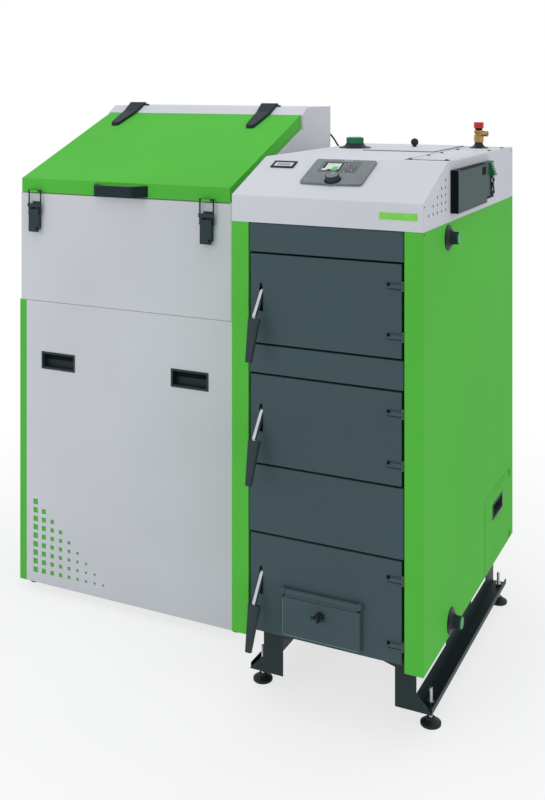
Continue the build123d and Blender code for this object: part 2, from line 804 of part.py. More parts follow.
def keeper(name):
    """Latch keeper on the left jamb: a lug with a pin that the hook grips."""
    y = LEVER_Y + KEEPER_OUT
    z = slot_top(name) - LEVER_DROP + HOOK_SEAT + KEEPER_LIFT + KEEPER_R
    edge = POCKET_X[0] + KEEPER_T
    lug = block((edge, edge + KEEPER_T), (y - KEEPER_T, FRAME_Y), (z - 6, z + 6))
    lug += rod_x(KEEPER_R, (edge + 1, LEVER_X + LEVER_T / 2 + 1), y, z)
    return lug


def front_frame():
    """Welded bars round the chamber mouths, with the door brackets and keepers."""
    low, high = CASE_Z + SHEET * 4, JACKET_Z[1]
    y = (FRAME_Y, FRAME_Y + FRAME_T)
    solids = [
        block((SHEET, MOUTH_X[0]), y, (low, high)),
        block((MOUTH_X[1], BOILER_W - SHEET), y, (low, high)),
    ]
    edges = [low] + [edge for name in DOORS for edge in mouth_z(name)] + [high]
    for bottom, top in zip(edges[0::2], edges[1::2]):
        solids.append(block(MOUTH_X, y, (bottom, top)))
    for name in DOORS:
        solids += [hinge_bracket(z) for z in strap_places(name)]
        solids.append(keeper(name))
    return solids


def strap(z):
    """Hinge strap on the door's face, ending in an eye round the pin."""
    span = around(z, STRAP_H)
    eye = rod_z(EYE_R, HINGE_X, HINGE_Y, span)
    band = block((HINGE_X - STRAP_L, HINGE_X), (SHEET - STRAP_T, SHEET), span)
    return band + eye - rod_z(PIN_R + FIT, HINGE_X, HINGE_Y, (span[0] - 1, span[1] + 1))


def flap_mount():
    """Two ears on the bottom door, and the flap's axle between them."""
    low, high = FLAP_X[0] - EAR_OVER, FLAP_X[1] + EAR_OVER
    mount = rod_x(AXLE_R, (low, high), AXLE_Y, AXLE_Z)
    for across in ((low, low + EAR_T), (high - EAR_T, high)):
        mount += rod_x(AXLE_R + 5, across, AXLE_Y, AXLE_Z)
        mount += block(across, (AXLE_Y, SHEET), around(AXLE_Z, 2 * AXLE_R + 10))
    return mount


def door_skin(name):
    """Pressed tray with its lever slot and two hinge straps."""
    z = SPANS[name]["door"]
    y = (SHEET, SHEET + DOOR_D)
    skin = block(DOOR_X, y, z)
    inner_x = (DOOR_X[0] + SHEET, DOOR_X[1] - SHEET)
    skin -= block(inner_x, (y[0] + SHEET, y[1] + 1), (z[0] + SHEET, z[1] - SHEET))
    slot_x = around(LEVER_X, LEVER_T + 2 * HOLE_GAP)
    skin -= block(slot_x, (0, y[0] + SHEET + 1), (slot_top(name) - SLOT_H, slot_top(name)))
    for place in strap_places(name):
        skin += strap(place)
    if name == "bottom":
        for window in DRAUGHTS_X:
            skin -= block(window, (0, y[0] + SHEET + 1), DRAUGHT_Z)
        skin += flap_mount()
    return [skin]


def door_lining(name):
    """Insulating slab with a plug for the chamber mouth, a pocket for the lever,
    its pivot pin, and the rope seal."""
    z = SPANS[name]["door"]
    inset = 2 * SHEET
    y = (2 * SHEET, SHEET + DOOR_D)
    slab = block((DOOR_X[0] + inset, DOOR_X[1] - inset), y, (z[0] + inset, z[1] - inset))
    mouth = mouth_z(name)
    plug_x = (MOUTH_X[0] + PLUG_GAP, MOUTH_X[1] - PLUG_GAP)
    plug_z = (mouth[0] + PLUG_GAP, mouth[1] - PLUG_GAP)
    slab += block(plug_x, (y[1] - 1, FRAME_Y + PLUG_DEPTH), plug_z)
    pivot_z = slot_top(name) - LEVER_DROP
    slab -= block(POCKET_X, (y[0] - 1, y[1] + 1), (pivot_z - POCKET_DOWN, pivot_z + POCKET_UP))
    slab += rod_x(PIVOT_R, POCKET_X, LEVER_Y, pivot_z)
    if name == "bottom":
        for window in DRAUGHTS_X:
            slab -= block(window, (0, FRAME_Y + PLUG_DEPTH + 1), DRAUGHT_Z)
    return [slab, rope_seal(mouth)]


def rope_seal(mouth):
    """Rope round the door's plug, that presses on the front frame."""
    y = (SHEET + DOOR_D, FRAME_Y - SEAM)
    inner_x = (MOUTH_X[0] - SHEET, MOUTH_X[1] + SHEET)
    inner_z = (mouth[0] - SHEET, mouth[1] + SHEET)
    outer_x = (inner_x[0] - ROPE_T, inner_x[1] + ROPE_T)
    outer_z = (inner_z[0] - ROPE_T, inner_z[1] + ROPE_T)
    return block(outer_x, y, outer_z) - block(inner_x, (y[0] - 1, y[1] + 1), inner_z)


def lever_frame(name):
    """The lever's own frame: its pivot, with X across and Y to the back."""
    return Pos(LEVER_X, LEVER_Y, slot_top(name) - LEVER_DROP)


def lever_bend():
    lean = math.radians(LEVER_LEAN)
    return (-LEVER_REACH * math.sin(lean), -LEVER_REACH * math.cos(lean))


def lever_bar():
    """The leaning bar and the tang that runs on inside the grip."""
    y, z = lever_bend()
    half = around(0, LEVER_T)
    bar = Rot(-LEVER_LEAN, 0, 0) * block(half, around(0, LEVER_W), (-LEVER_REACH - 3, 0))
    tang = block(half, around(0, LEVER_W - 4), (20 - GRIP_L, 0))
    return bar + Pos(0, y, z) * Rot(-GRIP_LEAN, 0, 0) * tang


def door_lever(name):
    """Flat lever: a boss on the pivot, a hook behind it and a leaning bar."""
    half = around(0, LEVER_T)
    lever = lever_bar() + rod_x(BOSS_R, half, 0, 0)
    finger = KEEPER_OUT + KEEPER_R + 0.5
    reach = finger + HOOK_T
    hook = [
        (0, -HOOK_LOW),
        (reach, -HOOK_LOW),
        (reach, HOOK_TIP),
        (finger, HOOK_TIP),
        (finger, HOOK_SEAT),
        (0, HOOK_SEAT),
    ]
    lever += along_x(outline(hook), half)
    lever -= rod_x(PIVOT_R + FIT, (-LEVER_T, LEVER_T), 0, 0)
    return [lever_frame(name) * lever]


def door_grip(name):
    """Tapered moulded grip over the end of the lever."""
    y, z = lever_bend()
    top = Pos(0, 0, -4) * RectangleRounded(*GRIP_TOP, 8)
    end = Pos(0, 0, -GRIP_L) * RectangleRounded(*GRIP_END, 5)
    grip = loft([top, end])
    grip = Pos(0, y, z) * Rot(-GRIP_LEAN, 0, 0) * grip
    grip -= lever_bar()
    return [lever_frame(name) * grip]


def flap_plate():
    """Draught flap: a tray whose top edge is rolled round the axle."""
    plate = block(FLAP_X, FLAP_Y, FLAP_Z)
    rim = block(FLAP_X, (FLAP_Y[0], 0), FLAP_Z)
    inner_x = (FLAP_X[0] + SHEET, FLAP_X[1] - SHEET)
    rim -= block(inner_x, (FLAP_Y[0] - 1, 1), (FLAP_Z[0] + SHEET, FLAP_Z[1] - SHEET))
    roll_x = (FLAP_X[0] - EAR_OVER + EAR_T + SEAM, FLAP_X[1] + EAR_OVER - EAR_T - SEAM)
    plate += rim
    plate += rod_x(ROLL_R, roll_x, AXLE_Y, AXLE_Z)
    plate += block(roll_x, around(AXLE_Y, ROLL_R - 1), (FLAP_Z[1] - 2, AXLE_Z))
    plate -= rod_x(AXLE_R + FIT, (roll_x[0] - 1, roll_x[1] + 1), AXLE_Y, AXLE_Z)
    plate -= rod_y(SCREW_R + FIT, SCREW_AT[0], (FLAP_Y[0] - 1, FLAP_Y[1] + 1), SCREW_AT[1])
    return [plate]


def flap_screw():
    """Adjusting screw with a round head and a small wing."""
    x, z = SCREW_AT
    front = FLAP_Y[0]
    screw = rod_y(SCREW_R, x, (front - 6, SHEET - 0.5), z)
    screw += rod_y(SCREW_HEAD_R, x, (front - 14, front - 2), z)
    screw += block((x - 2.5, x + 2.5), (front - 24, front - 13), around(z, 2 * SCREW_HEAD_R - 4))
    return [screw]


# water jacket and burner


def water_jacket():
    """Welded double walls round three chambers, one slab to a wall."""
    x, z = JACKET_X, JACKET_Z
    front = FRAME_Y + FRAME_T
    back_y = (JACKET_BACK - WALL, JACKET_BACK)
    left = (x[0], x[0] + WALL)
    right = (x[1] - WALL, x[1])
    inner = (left[1], right[0])
    port = around(MIDDLE, 2 * FLUE_PORT)
    port_z = around(FLUE_Z, 2 * FLUE_PORT)
    return [
        block(left, (front, JACKET_BACK), (z[0], PORT_Z[0])),
        block(left, (front, JACKET_BACK), (PORT_Z[1], z[1])),
        block(left, (front, PORT_Y[0]), PORT_Z),
        block(left, (PORT_Y[1], JACKET_BACK), PORT_Z),
        block(right, (front, JACKET_BACK), z),
        block(inner, (front, back_y[0]), (z[0], z[0] + FLOOR_T)),
        block(inner, (front, back_y[0]), (z[1] - ROOF_T, z[1])),
        block(inner, back_y, (z[0], port_z[0])),
        block(inner, back_y, (port_z[1], z[1])),
        block((inner[0], port[0]), back_y, port_z),
        block((port[1], inner[1]), back_y, port_z),
        block(inner, (front, ASH_SLOT_Y[0]), SHELVES[0]),
        block(inner, (ASH_SLOT_Y[1], back_y[0]), SHELVES[0]),
        block(inner, (front, back_y[0] - SHELF_BACK_GAP), SHELVES[1]),
    ]


def burner_retort():
    """Air box on the lower shelf, with the feed bore and the fire pot."""
    x = (FEED_X[1], RETORT_X + RETORT_HALF)
    box = block(x, (AIRBOX_FRONT, FEED_Y + RETORT_HALF), (SHELVES[0][1], AIRBOX_TOP))
    retort = box + rod_z(POT_R, RETORT_X, FEED_Y, (AIRBOX_TOP, AIRBOX_TOP + POT_H))
    retort -= rod_x(TUBE_R - TUBE_WALL, (x[0] - 1, RETORT_X), FEED_Y, FEED_Z)
    retort -= rod_z(POT_BORE, RETORT_X, FEED_Y, (FEED_Z, AIRBOX_TOP + POT_H + 1))
    return [retort]


def ash_pan():
    """Open steel pan under the burner, with a lip to pull it by."""
    pan = block(ASH_X, ASH_Y, ASH_Z)
    inner_x = (ASH_X[0] + PLATE_T, ASH_X[1] - PLATE_T)
    inner_y = (ASH_Y[0] + PLATE_T, ASH_Y[1] - PLATE_T)
    pan -= block(inner_x, inner_y, (ASH_Z[0] + PLATE_T, ASH_Z[1] + 1))
    lip_y = (ASH_Y[0] - ASH_LIP[1], ASH_Y[0])
    pan += block(around(MIDDLE, ASH_LIP[0]), lip_y, (ASH_Z[1] - PLATE_T, ASH_Z[1]))
    return [pan]


def flue_collar():
    """Round spigot with a square flange on the back of the jacket."""
    across = 2 * (FLUE_R + FLUE_PLATE)
    plate_y = (JACKET_BACK, JACKET_BACK + FLUE_PLATE_T)
    end = BOILER_D + FLUE_L
    collar = block(around(MIDDLE, across), plate_y, around(FLUE_Z, across))
    collar += rod_y(FLUE_R, MIDDLE, (JACKET_BACK, end), FLUE_Z)
    collar -= rod_y(FLUE_R - FLUE_WALL, MIDDLE, (JACKET_BACK - 1, end + 1), FLUE_Z)
    return [collar]


# pipe connections


def pipe_rosettes():
    """Flared black collars where the pipes and the valve leave the casing."""
    rosettes = []
    for y, z in STUBS:
        rosettes.append(Pos(BOILER_W, y, z) * Rot(0, 90, 0) * trumpet(STUB_COLLAR, STUB_R + HOLE_GAP))
    rosettes.append(Pos(*CAP_AT, COVER_Z) * trumpet(CAP_COLLAR))
    rosettes.append(Pos(*VALVE_AT, COVER_Z) * trumpet(VALVE_COLLAR))
    return rosettes


def pipe_stubs():
    """Round stubs from the jacket out through the casing, open at their ends."""
    stubs = []
    end = BOILER_W + STUB_REACH
    for y, z in STUBS:
        stub = rod_x(STUB_R, (JACKET_X[1], end), y, z)
        stub -= rod_x(STUB_R - STUB_WALL, (JACKET_X[1] + STUB_SEAT, end + 1), y, z)
        stubs.append(stub)
    return stubs


def ribbed_cap():
    """Green cap with fine upright ribs round its edge."""
    round_face = Circle(CAP_R)
    for place in PolarLocations(CAP_R, CAP_RIBS):
        round_face += place * Circle(CAP_RIB_R)
    return Pos(*CAP_AT, COVER_Z + CAP_COLLAR[2]) * extrude(round_face, CAP_H)


def connector_plug():
    """Wedge-shaped plug on the electronics box's strip."""
    x = BOILER_W + STRIP_D
    z = (EBOX_Z[1] - SHEET - PLUG_H, EBOX_Z[1] - SHEET)
    y = EBOX_Y + EBOX_L + STRIP_L - PLUG_IN
    wedge = outline([(x, z[0]), (x + PLUG_OUT[1], z[0]), (x + PLUG_OUT[0], z[1]), (x, z[1])])
    return along_y(wedge, (y - PLUG_W, y))


def green_plugs():
    """Green moulded plugs: in the stubs, on the cover and on the box's strip."""
    plugs = [ribbed_cap(), connector_plug()]
    end = BOILER_W + STUB_REACH
    for y, z in STUBS:
        plug = rod_x(STUB_R - STUB_PLUG_RIM, (end, end + STUB_PLUG_T), y, z)
        plug += rod_x(STUB_R - STUB_WALL - SEAM, (end - STUB_PLUG_L, end), y, z)
        plugs.append(plug)
    return plugs


def safety_valve():
    """Brass valve on its collar: nut, domed body, side outlet, neck and stem."""
    x, y = VALVE_AT
    nut_z = COVER_Z + VALVE_COLLAR[2]
    dome_z = nut_z + VALVE_NUT[1]
    nut = extrude(RegularPolygon(VALVE_NUT[0], 6), VALVE_NUT[1])
    nut = chamfer(nut.faces().sort_by(Axis.Z)[-1].edges(), 2)
    radius, height = VALVE_DOME
    side = Polyline(
        (0, 0),
        (VALVE_WAIST_R, 0),
        (VALVE_WAIST_R, 0.3 * height),
        (radius, 0.5 * height),
        (radius, 0.75 * height),
        (VALVE_NECK[0], height),
        (0, height),
        close=True,
    )
    valve = Pos(x, y, nut_z) * nut
    valve += Pos(x, y, dome_z) * revolve(Plane.XZ * make_face(side))
    valve += rod_z(VALVE_NECK[0], x, y, (dome_z + height, VALVE_TOP))
    valve += rod_z(VALVE_PIN[0], x, y, (VALVE_TOP, VALVE_TOP + VALVE_PIN[1]))
    outlet_r, bore, reach = VALVE_OUTLET
    outlet_z = dome_z + height / 4
    valve += rod_x(outlet_r, (x, x + reach), y, outlet_z)
    valve -= rod_x(bore, (x + reach / 2, x + reach + 1), y, outlet_z)
    return [valve]


def valve_cap():
    """Red test cap, fluted, that turns on the valve's stem."""
    radius, height = VALVE_CAP
    cap = extrude(Circle(radius), height - SEAM)
    for place in PolarLocations(radius + 1, CAP_FLUTES):
        cap -= place * Cylinder(FLUTE_R, 3 * height)
    cap = Pos(*VALVE_AT, VALVE_TOP + SEAM) * cap
    cap -= rod_z(VALVE_PIN[0] + FIT, *VALVE_AT, (VALVE_TOP, VALVE_TOP + VALVE_PIN[1] + SEAM))
    return [cap]


# base frame and feet


def end_plate():
    """Left half of the plate across the base's front."""
    foot = RAIL_X - RAIL_FOOT
    shape = [
        (RAIL_X, CASE_Z),
        (RAIL_X + END_TOP, CASE_Z),
        (RAIL_X + END_TOP, CASE_Z - END_NECK[0]),
        (RAIL_X + END_W, CASE_Z - END_NECK[1]),
        (RAIL_X + END_W, RAIL_Z),
        (foot, RAIL_Z),
        (foot, RAIL_Z + PLATE_T),
        (RAIL_X, RAIL_Z + END_SHOULDER),
    ]
    return along_y(outline(shape), (RAIL_Y[0], RAIL_Y[0] + PLATE_T))


def rail():
    """Folded rail that the left feet hold, with a lip along its outer edge."""
    foot = RAIL_X - RAIL_FOOT
    line = Polyline((foot, RAIL_Z + RAIL_LIP), (foot, RAIL_Z), (RAIL_X + PLATE_T, RAIL_Z))
    bar = along_y(folded(line, PLATE_T, Side.LEFT), (RAIL_Y[0] + PLATE_T, RAIL_Y[1]))
    for x, y in foot_places():
        bar -= rod_z(STUD_R + SEAM, x, y, (RAIL_Z - 1, RAIL_Z + PLATE_T + 1))
    return bar


def web():
    """Upright plate of the left side: a low bar and two posts with sloping edges."""
    bar_z = (RAIL_Z + PLATE_T, RAIL_Z + RAIL_H)
    start = RAIL_Y[0] + PLATE_T
    post = (RAIL_Y[0] + WEB_POST_IN, RAIL_Y[0] + WEB_POST_IN + WEB_POSTS[0])
    last = RAIL_Y[1] - WEB_POSTS[1]
    shape = [
        (start, bar_z[0]),
        (RAIL_Y[1], bar_z[0]),
        (RAIL_Y[1], CASE_Z),
        (last, CASE_Z),
        (last - WEB_SLANT, bar_z[1]),
        (post[1] + WEB_SLANT, bar_z[1]),
        (post[1], CASE_Z),
        (post[0], CASE_Z),
        (post[0] - WEB_SLANT, bar_z[1]),
        (start, bar_z[1]),
    ]
    return along_x(outline(shape), (RAIL_X, RAIL_X + PLATE_T))


def base_frame():
    """Two sides of plate, rail and web, and the deck that carries the jacket."""
    solids = []
    for piece in (end_plate(), rail(), web()):
        solids.append(piece)
        solids.append(mirrored(piece))
    deck_x = (JACKET_X[0] - DECK_OVER, JACKET_X[1] + DECK_OVER)
    solids.append(block(deck_x, DECK_Y, (CASE_Z, JACKET_Z[0])))
    return solids


def foot_places():
    ends = (RAIL_Y[0] + FOOT_Y[0], RAIL_Y[1] - FOOT_Y[1])
    return [(x, y) for x in (FOOT_IN, BOILER_W - FOOT_IN) for y in ends]


def hopper_foot_places():
    inset_x, inset_y = HOPPER_FOOT_IN
    xs = (HOPPER_X[0] + inset_x, HOPPER_X[1] - inset_x)
    ys = (HOPPER_Y[0] + inset_y, HOPPER_Y[1] - inset_y)
    return [(x, y) for x in xs for y in ys]


def foot(place, pad_size, seat_z, stud):
    """Levelling foot: pad, stud and two locknuts on the plate that it carries."""
    radius, height = pad_size
    shape = [(0, 0), (radius, 0), (radius, 0.4 * height), (2 * STUD_R, height), (0, height)]
    top = seat_z + PLATE_T
    piece = revolve(Plane.XZ * outline(shape))
    piece += rod_z(STUD_R, 0, 0, (height - 1, top + stud))
    nut = extrude(RegularPolygon(NUT_R, 6), NUT_H)
    piece += Pos(0, 0, seat_z - NUT_H) * nut
    piece += Pos(0, 0, top) * nut
    return Pos(*place, 0) * piece


def feet():
    solids = [foot(place, FOOT_PAD, RAIL_Z, STUD_OVER) for place in foot_places()]
    solids += [foot(place, HOPPER_PAD, HOPPER_Z, HOPPER_STUD) for place in hopper_foot_places()]
    return solids


# pellet feed


def auger_tube():
    """Feed tube with its end flange, open on top as a trough under the bin."""
    inner = TUBE_R - TUBE_WALL
    tube = rod_x(TUBE_R, FEED_X, FEED_Y, FEED_Z)
    tube += rod_x(TUBE_R + TUBE_FLANGE, (FEED_X[0], FEED_X[0] + FLANGE_T), FEED_Y, FEED_Z)
    tube -= rod_x(inner, (FEED_X[0] - 1, FEED_X[1] + 1), FEED_Y, FEED_Z)
    tube += block(TROUGH_X, around(FEED_Y, 2 * TUBE_R), (FEED_Z, FUNNEL_LOW))
    inner_x = (TROUGH_X[0] + TUBE_WALL, TROUGH_X[1] - TUBE_WALL)
    tube -= block(inner_x, around(FEED_Y, 2 * inner), (FEED_Z, FUNNEL_LOW + 1))
    tube -= rod_x(inner, (FEED_X[0] - 1, FEED_X[1] + 1), FEED_Y, FEED_Z)
    return [tube]


def auger_screw():
    """Screw flight on its shaft, turning in the tube."""
    outer = TUBE_R - TUBE_WALL - SCREW_GAP
    start, end = FEED_X[0] + 20, FEED_X[1] - 10
    helix = Helix(pitch=PITCH, height=end - start, radius=(outer + SHAFT_R) / 2)
    edge = Plane(origin=helix @ 0, x_dir=(1, 0, 0), z_dir=helix % 0)
    flight = sweep(edge * Rectangle(outer - SHAFT_R, FLIGHT_T), path=helix, is_frenet=True)
    turned = Pos(start, FEED_Y, FEED_Z) * Rot(0, 90, 0) * flight
    shaft = rod_x(SHAFT_R, (FEED_X[0] - SHAFT_IN, end + 4), FEED_Y, FEED_Z)
    return [turned, shaft]


def gear_motor():
    """Gearbox on the tube's end flange, with the motor on its far side."""
    x = (FEED_X[0] - GEAR_L, FEED_X[0])
    box = block(x, around(FEED_Y, 2 * GEAR_HALF), around(FEED_Z, 2 * GEAR_HALF))
    box = chamfer(box.edges().filter_by(Axis.X), GEAR_CHAMFER)
    box += rod_x(MOTOR_R, (x[0] - MOTOR_L, x[0]), FEED_Y, FEED_Z)
    box -= rod_x(SHAFT_R + FIT, (FEED_X[0] - SHAFT_IN - 10, FEED_X[0] + 1), FEED_Y, FEED_Z)
    return [box]


def blower():
    """Scroll fan with its motor, and the air duct to the burner."""
    half = SCROLL_W / 2
    fan_z = FEED_Z - SCROLL_DROP
    duct = rod_x(DUCT_R, (BLOWER_X, FEED_X[1]), DUCT_Y, FEED_Z)
    duct -= rod_x(DUCT_R - DUCT_WALL, (BLOWER_X + half, FEED_X[1] + 1), DUCT_Y, FEED_Z)
    scroll = rod_x(SCROLL_R, (BLOWER_X - half, BLOWER_X + half), DUCT_Y, fan_z)
    motor = rod_x(FAN_MOTOR_R, (BLOWER_X - half - FAN_MOTOR_L, BLOWER_X - half), DUCT_Y, fan_z)
    return [duct + scroll + motor]


# hopper


def hole_places():
    """Middle and size of each square hole, in columns that shrink to the right."""
    places = []
    for column, size in enumerate(HOLE_SIZES):
        for row in range(len(HOLE_SIZES) - column):
            x = HOPPER_X[0] + HOLE_IN[0] + HOLE_STEP[0] * column
            z = HOPPER_Z + HOLE_IN[1] + HOLE_STEP[1] * row
            places.append((x, z, size))
    return places


def hopper_side_panels():
    """Green lower sheets: left with its front strip, right, back, and the
    screen behind the front sheet's holes."""
    x0, x1 = HOPPER_X
    y0, y1 = HOPPER_Y
    z = (HOPPER_Z, SEAM_Z)
    strip = x0 + STRIP_W
    line = Polyline((strip, y0), (x0, y0), (x0, y1), (strip, y1))
    left = along_z(folded(line), z)
    right = block((x1 - SHEET, x1), (y0 + SHEET, y1), z)
    right -= block((x1 - SHEET - 1, x1 + 1), PORT_Y, PORT_Z)
    back = block((strip, x1 - SHEET), (y1 - SHEET, y1), z)
    holes = hole_places()
    screen_x = (x0 + SHEET, max(x for x, _, _ in holes) + HOLE_MARGIN)
    screen_z = (HOPPER_Z + PLATE_T + SEAM, max(hole_z for _, hole_z, _ in holes) + HOLE_MARGIN)
    screen = block(screen_x, (y0 + SHEET, y0 + 2 * SHEET), screen_z)
    return [left, right, back, screen]


def hopper_front_panel():
    """White front sheet with its square holes and the grips' cut-outs."""
    y = (HOPPER_Y[0], HOPPER_Y[0] + SHEET)
    through = (y[0] - 1, y[1] + 1)
    panel = block((HOPPER_X[0] + STRIP_W, HOPPER_X[1]), y, (HOPPER_Z, SEAM_Z - 1))
    cutters = [block(around(x, size), through, around(z, size)) for x, z, size in hole_places()]
    cutters += [block(grip, through, HOPPER_GRIP_Z) for grip in HOPPER_GRIPS_X]
    return [panel - cutters]


def grip_cup(width, height):
    """Recessed grip: a cup behind the sheet with a thin lip in front, drawn
    with its mouth towards -Y and centred on the origin."""
    cup = block(around(0, width), (0, CUP_D), around(0, height))
    cup += block(around(0, width + 2 * CUP_LIP), (-CUP_LIP_T, 0), around(0, height + 2 * CUP_LIP))
    inner_x = around(0, width - 2 * CUP_WALL)
    inner_z = around(0, height - 2 * CUP_WALL)
    return cup - block(inner_x, (-2 * CUP_LIP_T, CUP_D - CUP_WALL), inner_z)


def recess_grips():
    """Two grips in the hopper's front and one in the hatch."""
    cups = []
    for low, high in HOPPER_GRIPS_X:
        cup = grip_cup(high - low - CUP_GAP, HOPPER_GRIP_H - CUP_GAP)
        cups.append(Pos((low + high) / 2, HOPPER_Y[0], sum(HOPPER_GRIP_Z) / 2) * cup)
    cup = grip_cup(HATCH_GRIP[1] - CUP_GAP, HATCH_GRIP[3] - CUP_GAP)
    cups.append(Pos(BOILER_W, sum(HATCH_GRIP_Y) / 2, sum(HATCH_GRIP_Z) / 2) * Rot(0, 0, 90) * cup)
    return cups


def upper_front():
    """Front sheet bent round both corners, with the sloped ledge along its top."""
    x0, x1 = HOPPER_X
    y0 = HOPPER_Y[0]
    end = y0 + CORNER_R + SHEET
    above = RIM_Z + LEDGE_W
    plan = FilletPolyline((x1, end), (x1, y0), (x0, y0), (x0, end), radius=CORNER_R)
    front = along_z(folded(plan), (SEAM_Z, above))
    front -= LID_SLOPE * block((x0 - 1, x1 + 1), (-LEDGE_W, 2 * LEDGE_W), (0, 2 * LEDGE_W))
    inside = block((x0 + SHEET, x1 - SHEET), (y0 + SHEET, y0 + 2 * LEDGE_W), (SEAM_Z, above))
    inside = fillet(inside.edges().filter_by(Axis.Z).group_by(Axis.Y)[0], CORNER_R - SHEET)
    ledge = LID_SLOPE * block((x0, x1), (0, up_slope(LEDGE_W)), (-SHEET, 0))
    return front + (ledge & inside)


def upper_side():
    """Left side sheet under the lid and the top cap, with its ledge."""
    x0 = HOPPER_X[0]
    y0, y1 = HOPPER_Y
    start = y0 + CORNER_R + SHEET
    shape = [
        (start, SEAM_Z),
        (start, rising(start)),
        (CAP_FRONT, rising(CAP_FRONT)),
        (CAP_FRONT, CAP_LIP_Z),
        CAP_TOP,
        (y1, CAP_TOP[1]),
        (y1, SEAM_Z),
    ]
    side = along_x(outline(shape), (x0, x0 + SHEET))
    run = (up_slope(LEDGE_W), up_slope(CAP_FRONT - CAP_FOOT - y0) - SEAM)
    return side + LID_SLOPE * block((x0 + SHEET, x0 + LEDGE_W), run, (-SHEET, 0))


def hopper_upper_walls():
    """White upper walls: front, two sides and back."""
    x0, x1 = HOPPER_X
    y1 = HOPPER_Y[1]
    left = upper_side()
    right = mirror(left, about=Plane.YZ.offset((x0 + x1) / 2))
    back = block((x0 + SHEET, x1 - SHEET), (y1 - SHEET, y1), (SEAM_Z, CAP_TOP[1] - CAP_TAIL))
    return [upper_front(), left, right, back]


def hopper_top_cap():
    """Folded cap behind the lid, from the ledge over to the back."""
    start = CAP_FRONT - CAP_FOOT
    line = Polyline(
        (start, rising(start)),
        (CAP_FRONT, rising(CAP_FRONT)),
        (CAP_FRONT, CAP_LIP_Z),
        CAP_TOP,
        (HOPPER_Y[1], CAP_TOP[1]),
        (HOPPER_Y[1], CAP_TOP[1] - CAP_TAIL),
    )
    return [along_x(folded(line), (HOPPER_X[0] + SHEET, HOPPER_X[1] - SHEET))]


def saddle(x):
    """Plate on the hopper's floor that the feed tube rests in."""
    across = (x - SADDLE_T / 2, x + SADDLE_T / 2)
    plate = block(across, around(FEED_Y, 2 * SADDLE_HALF), (HOPPER_Z + PLATE_T, FEED_Z))
    return plate - rod_x(TUBE_R + SEAM, (across[0] - 1, across[1] + 1), FEED_Y, FEED_Z)


def hopper_base():
    """Floor tray on the feet, with two saddles for the feed tube."""
    x = (HOPPER_X[0] + SHEET, HOPPER_X[1] - SHEET)
    y = (HOPPER_Y[0] + SHEET, HOPPER_Y[1] - SHEET)
    floor = block(x, y, (HOPPER_Z, HOPPER_Z + PLATE_T))
    for place in hopper_foot_places():
        floor -= rod_z(STUD_R + SEAM, *place, (HOPPER_Z - 1, HOPPER_Z + PLATE_T + 1))
    return [floor, saddle(HOPPER_X[0] + SADDLE_IN[0]), saddle(HOPPER_X[1] - SADDLE_IN[1])]


def ring_points(x, y, inset):
    return [
        (x[0] + inset, y[0] + inset),
        (x[1] - inset, y[0] + inset),
        (x[1] - inset, y[1] - inset),
        (x[0] + inset, y[1] - inset),
    ]


def bin_funnel():
    """Four sloping plates that lead the pellets to the feed tube."""
    top_x = (HOPPER_X[0] + SHEET, HOPPER_X[1] - SHEET)
    top_y = (HOPPER_Y[0] + CUP_D + SHEET, HOPPER_Y[1] - SHEET)
    levels = [
        (top_x, top_y, FUNNEL_TOP),
        (TROUGH_X, around(FEED_Y, 2 * TUBE_R), FUNNEL_LOW),
    ]
    plates = []
    for i in range(4):
        j = (i + 1) % 4
        sections = []
        for x, y, z in levels:
            outer = ring_points(x, y, 0)
            inner = ring_points(x, y, FUNNEL_T)
            sections.append(Pos(0, 0, z) * outline([outer[i], outer[j], inner[j], inner[i]]))
        plates.append(loft(sections, ruled=True))
    return plates


# hopper lid, its hinges, handle and latches


def hopper_lid():
    """Folded lid with side skirts, and the two catches for the latches."""
    y0 = HOPPER_Y[0]
    y1 = y0 + LID_RUN
    corners = [
        (y0, LID_LOW),
        (y0, LID_LOW + LID_H),
        (y1, LID_LOW + LID_RISE + LID_H),
        (y1, LID_LOW + LID_RISE),
    ]
    lid = along_x(folded(Polyline(*corners)), LID_X)
    skirt = outline(corners)
    lid += along_x(skirt, (LID_X[0], LID_X[0] + SHEET))
    lid += along_x(skirt, (LID_X[1] - SHEET, LID_X[1]))
    for middle in LATCH_XS.values():
        across = around(middle, 2 * CATCH_HALF)
        lid += block(across, (y0 - CATCH_OUT + 1, y0), (CATCH_Z, CATCH_Z + CATCH_T))
        hook_y = (y0 - CATCH_OUT, y0 - CATCH_OUT + CATCH_HOOK_T)
        lid += block(across, hook_y, (CATCH_Z, CATCH_Z + CATCH_HOOK))
    return [lid]


def lid_handle():
    """Bow handle on the lid's front, bent from one flat bar."""
    y0 = HOPPER_Y[0]
    path = FilletPolyline(
        (HANDLE_X[1], y0),
        (HANDLE_X[1] - HANDLE_BEND, HANDLE_Y),
        (HANDLE_X[0] + HANDLE_BEND, HANDLE_Y),
        (HANDLE_X[0], y0),
        radius=HANDLE_R,
    )
    bow = along_z(folded(path, HANDLE_T), HANDLE_Z)
    bow &= block((HANDLE_X[0] - 1, HANDLE_X[1] + 1), (HANDLE_Y - 1, y0), HANDLE_Z)
    return [bow]


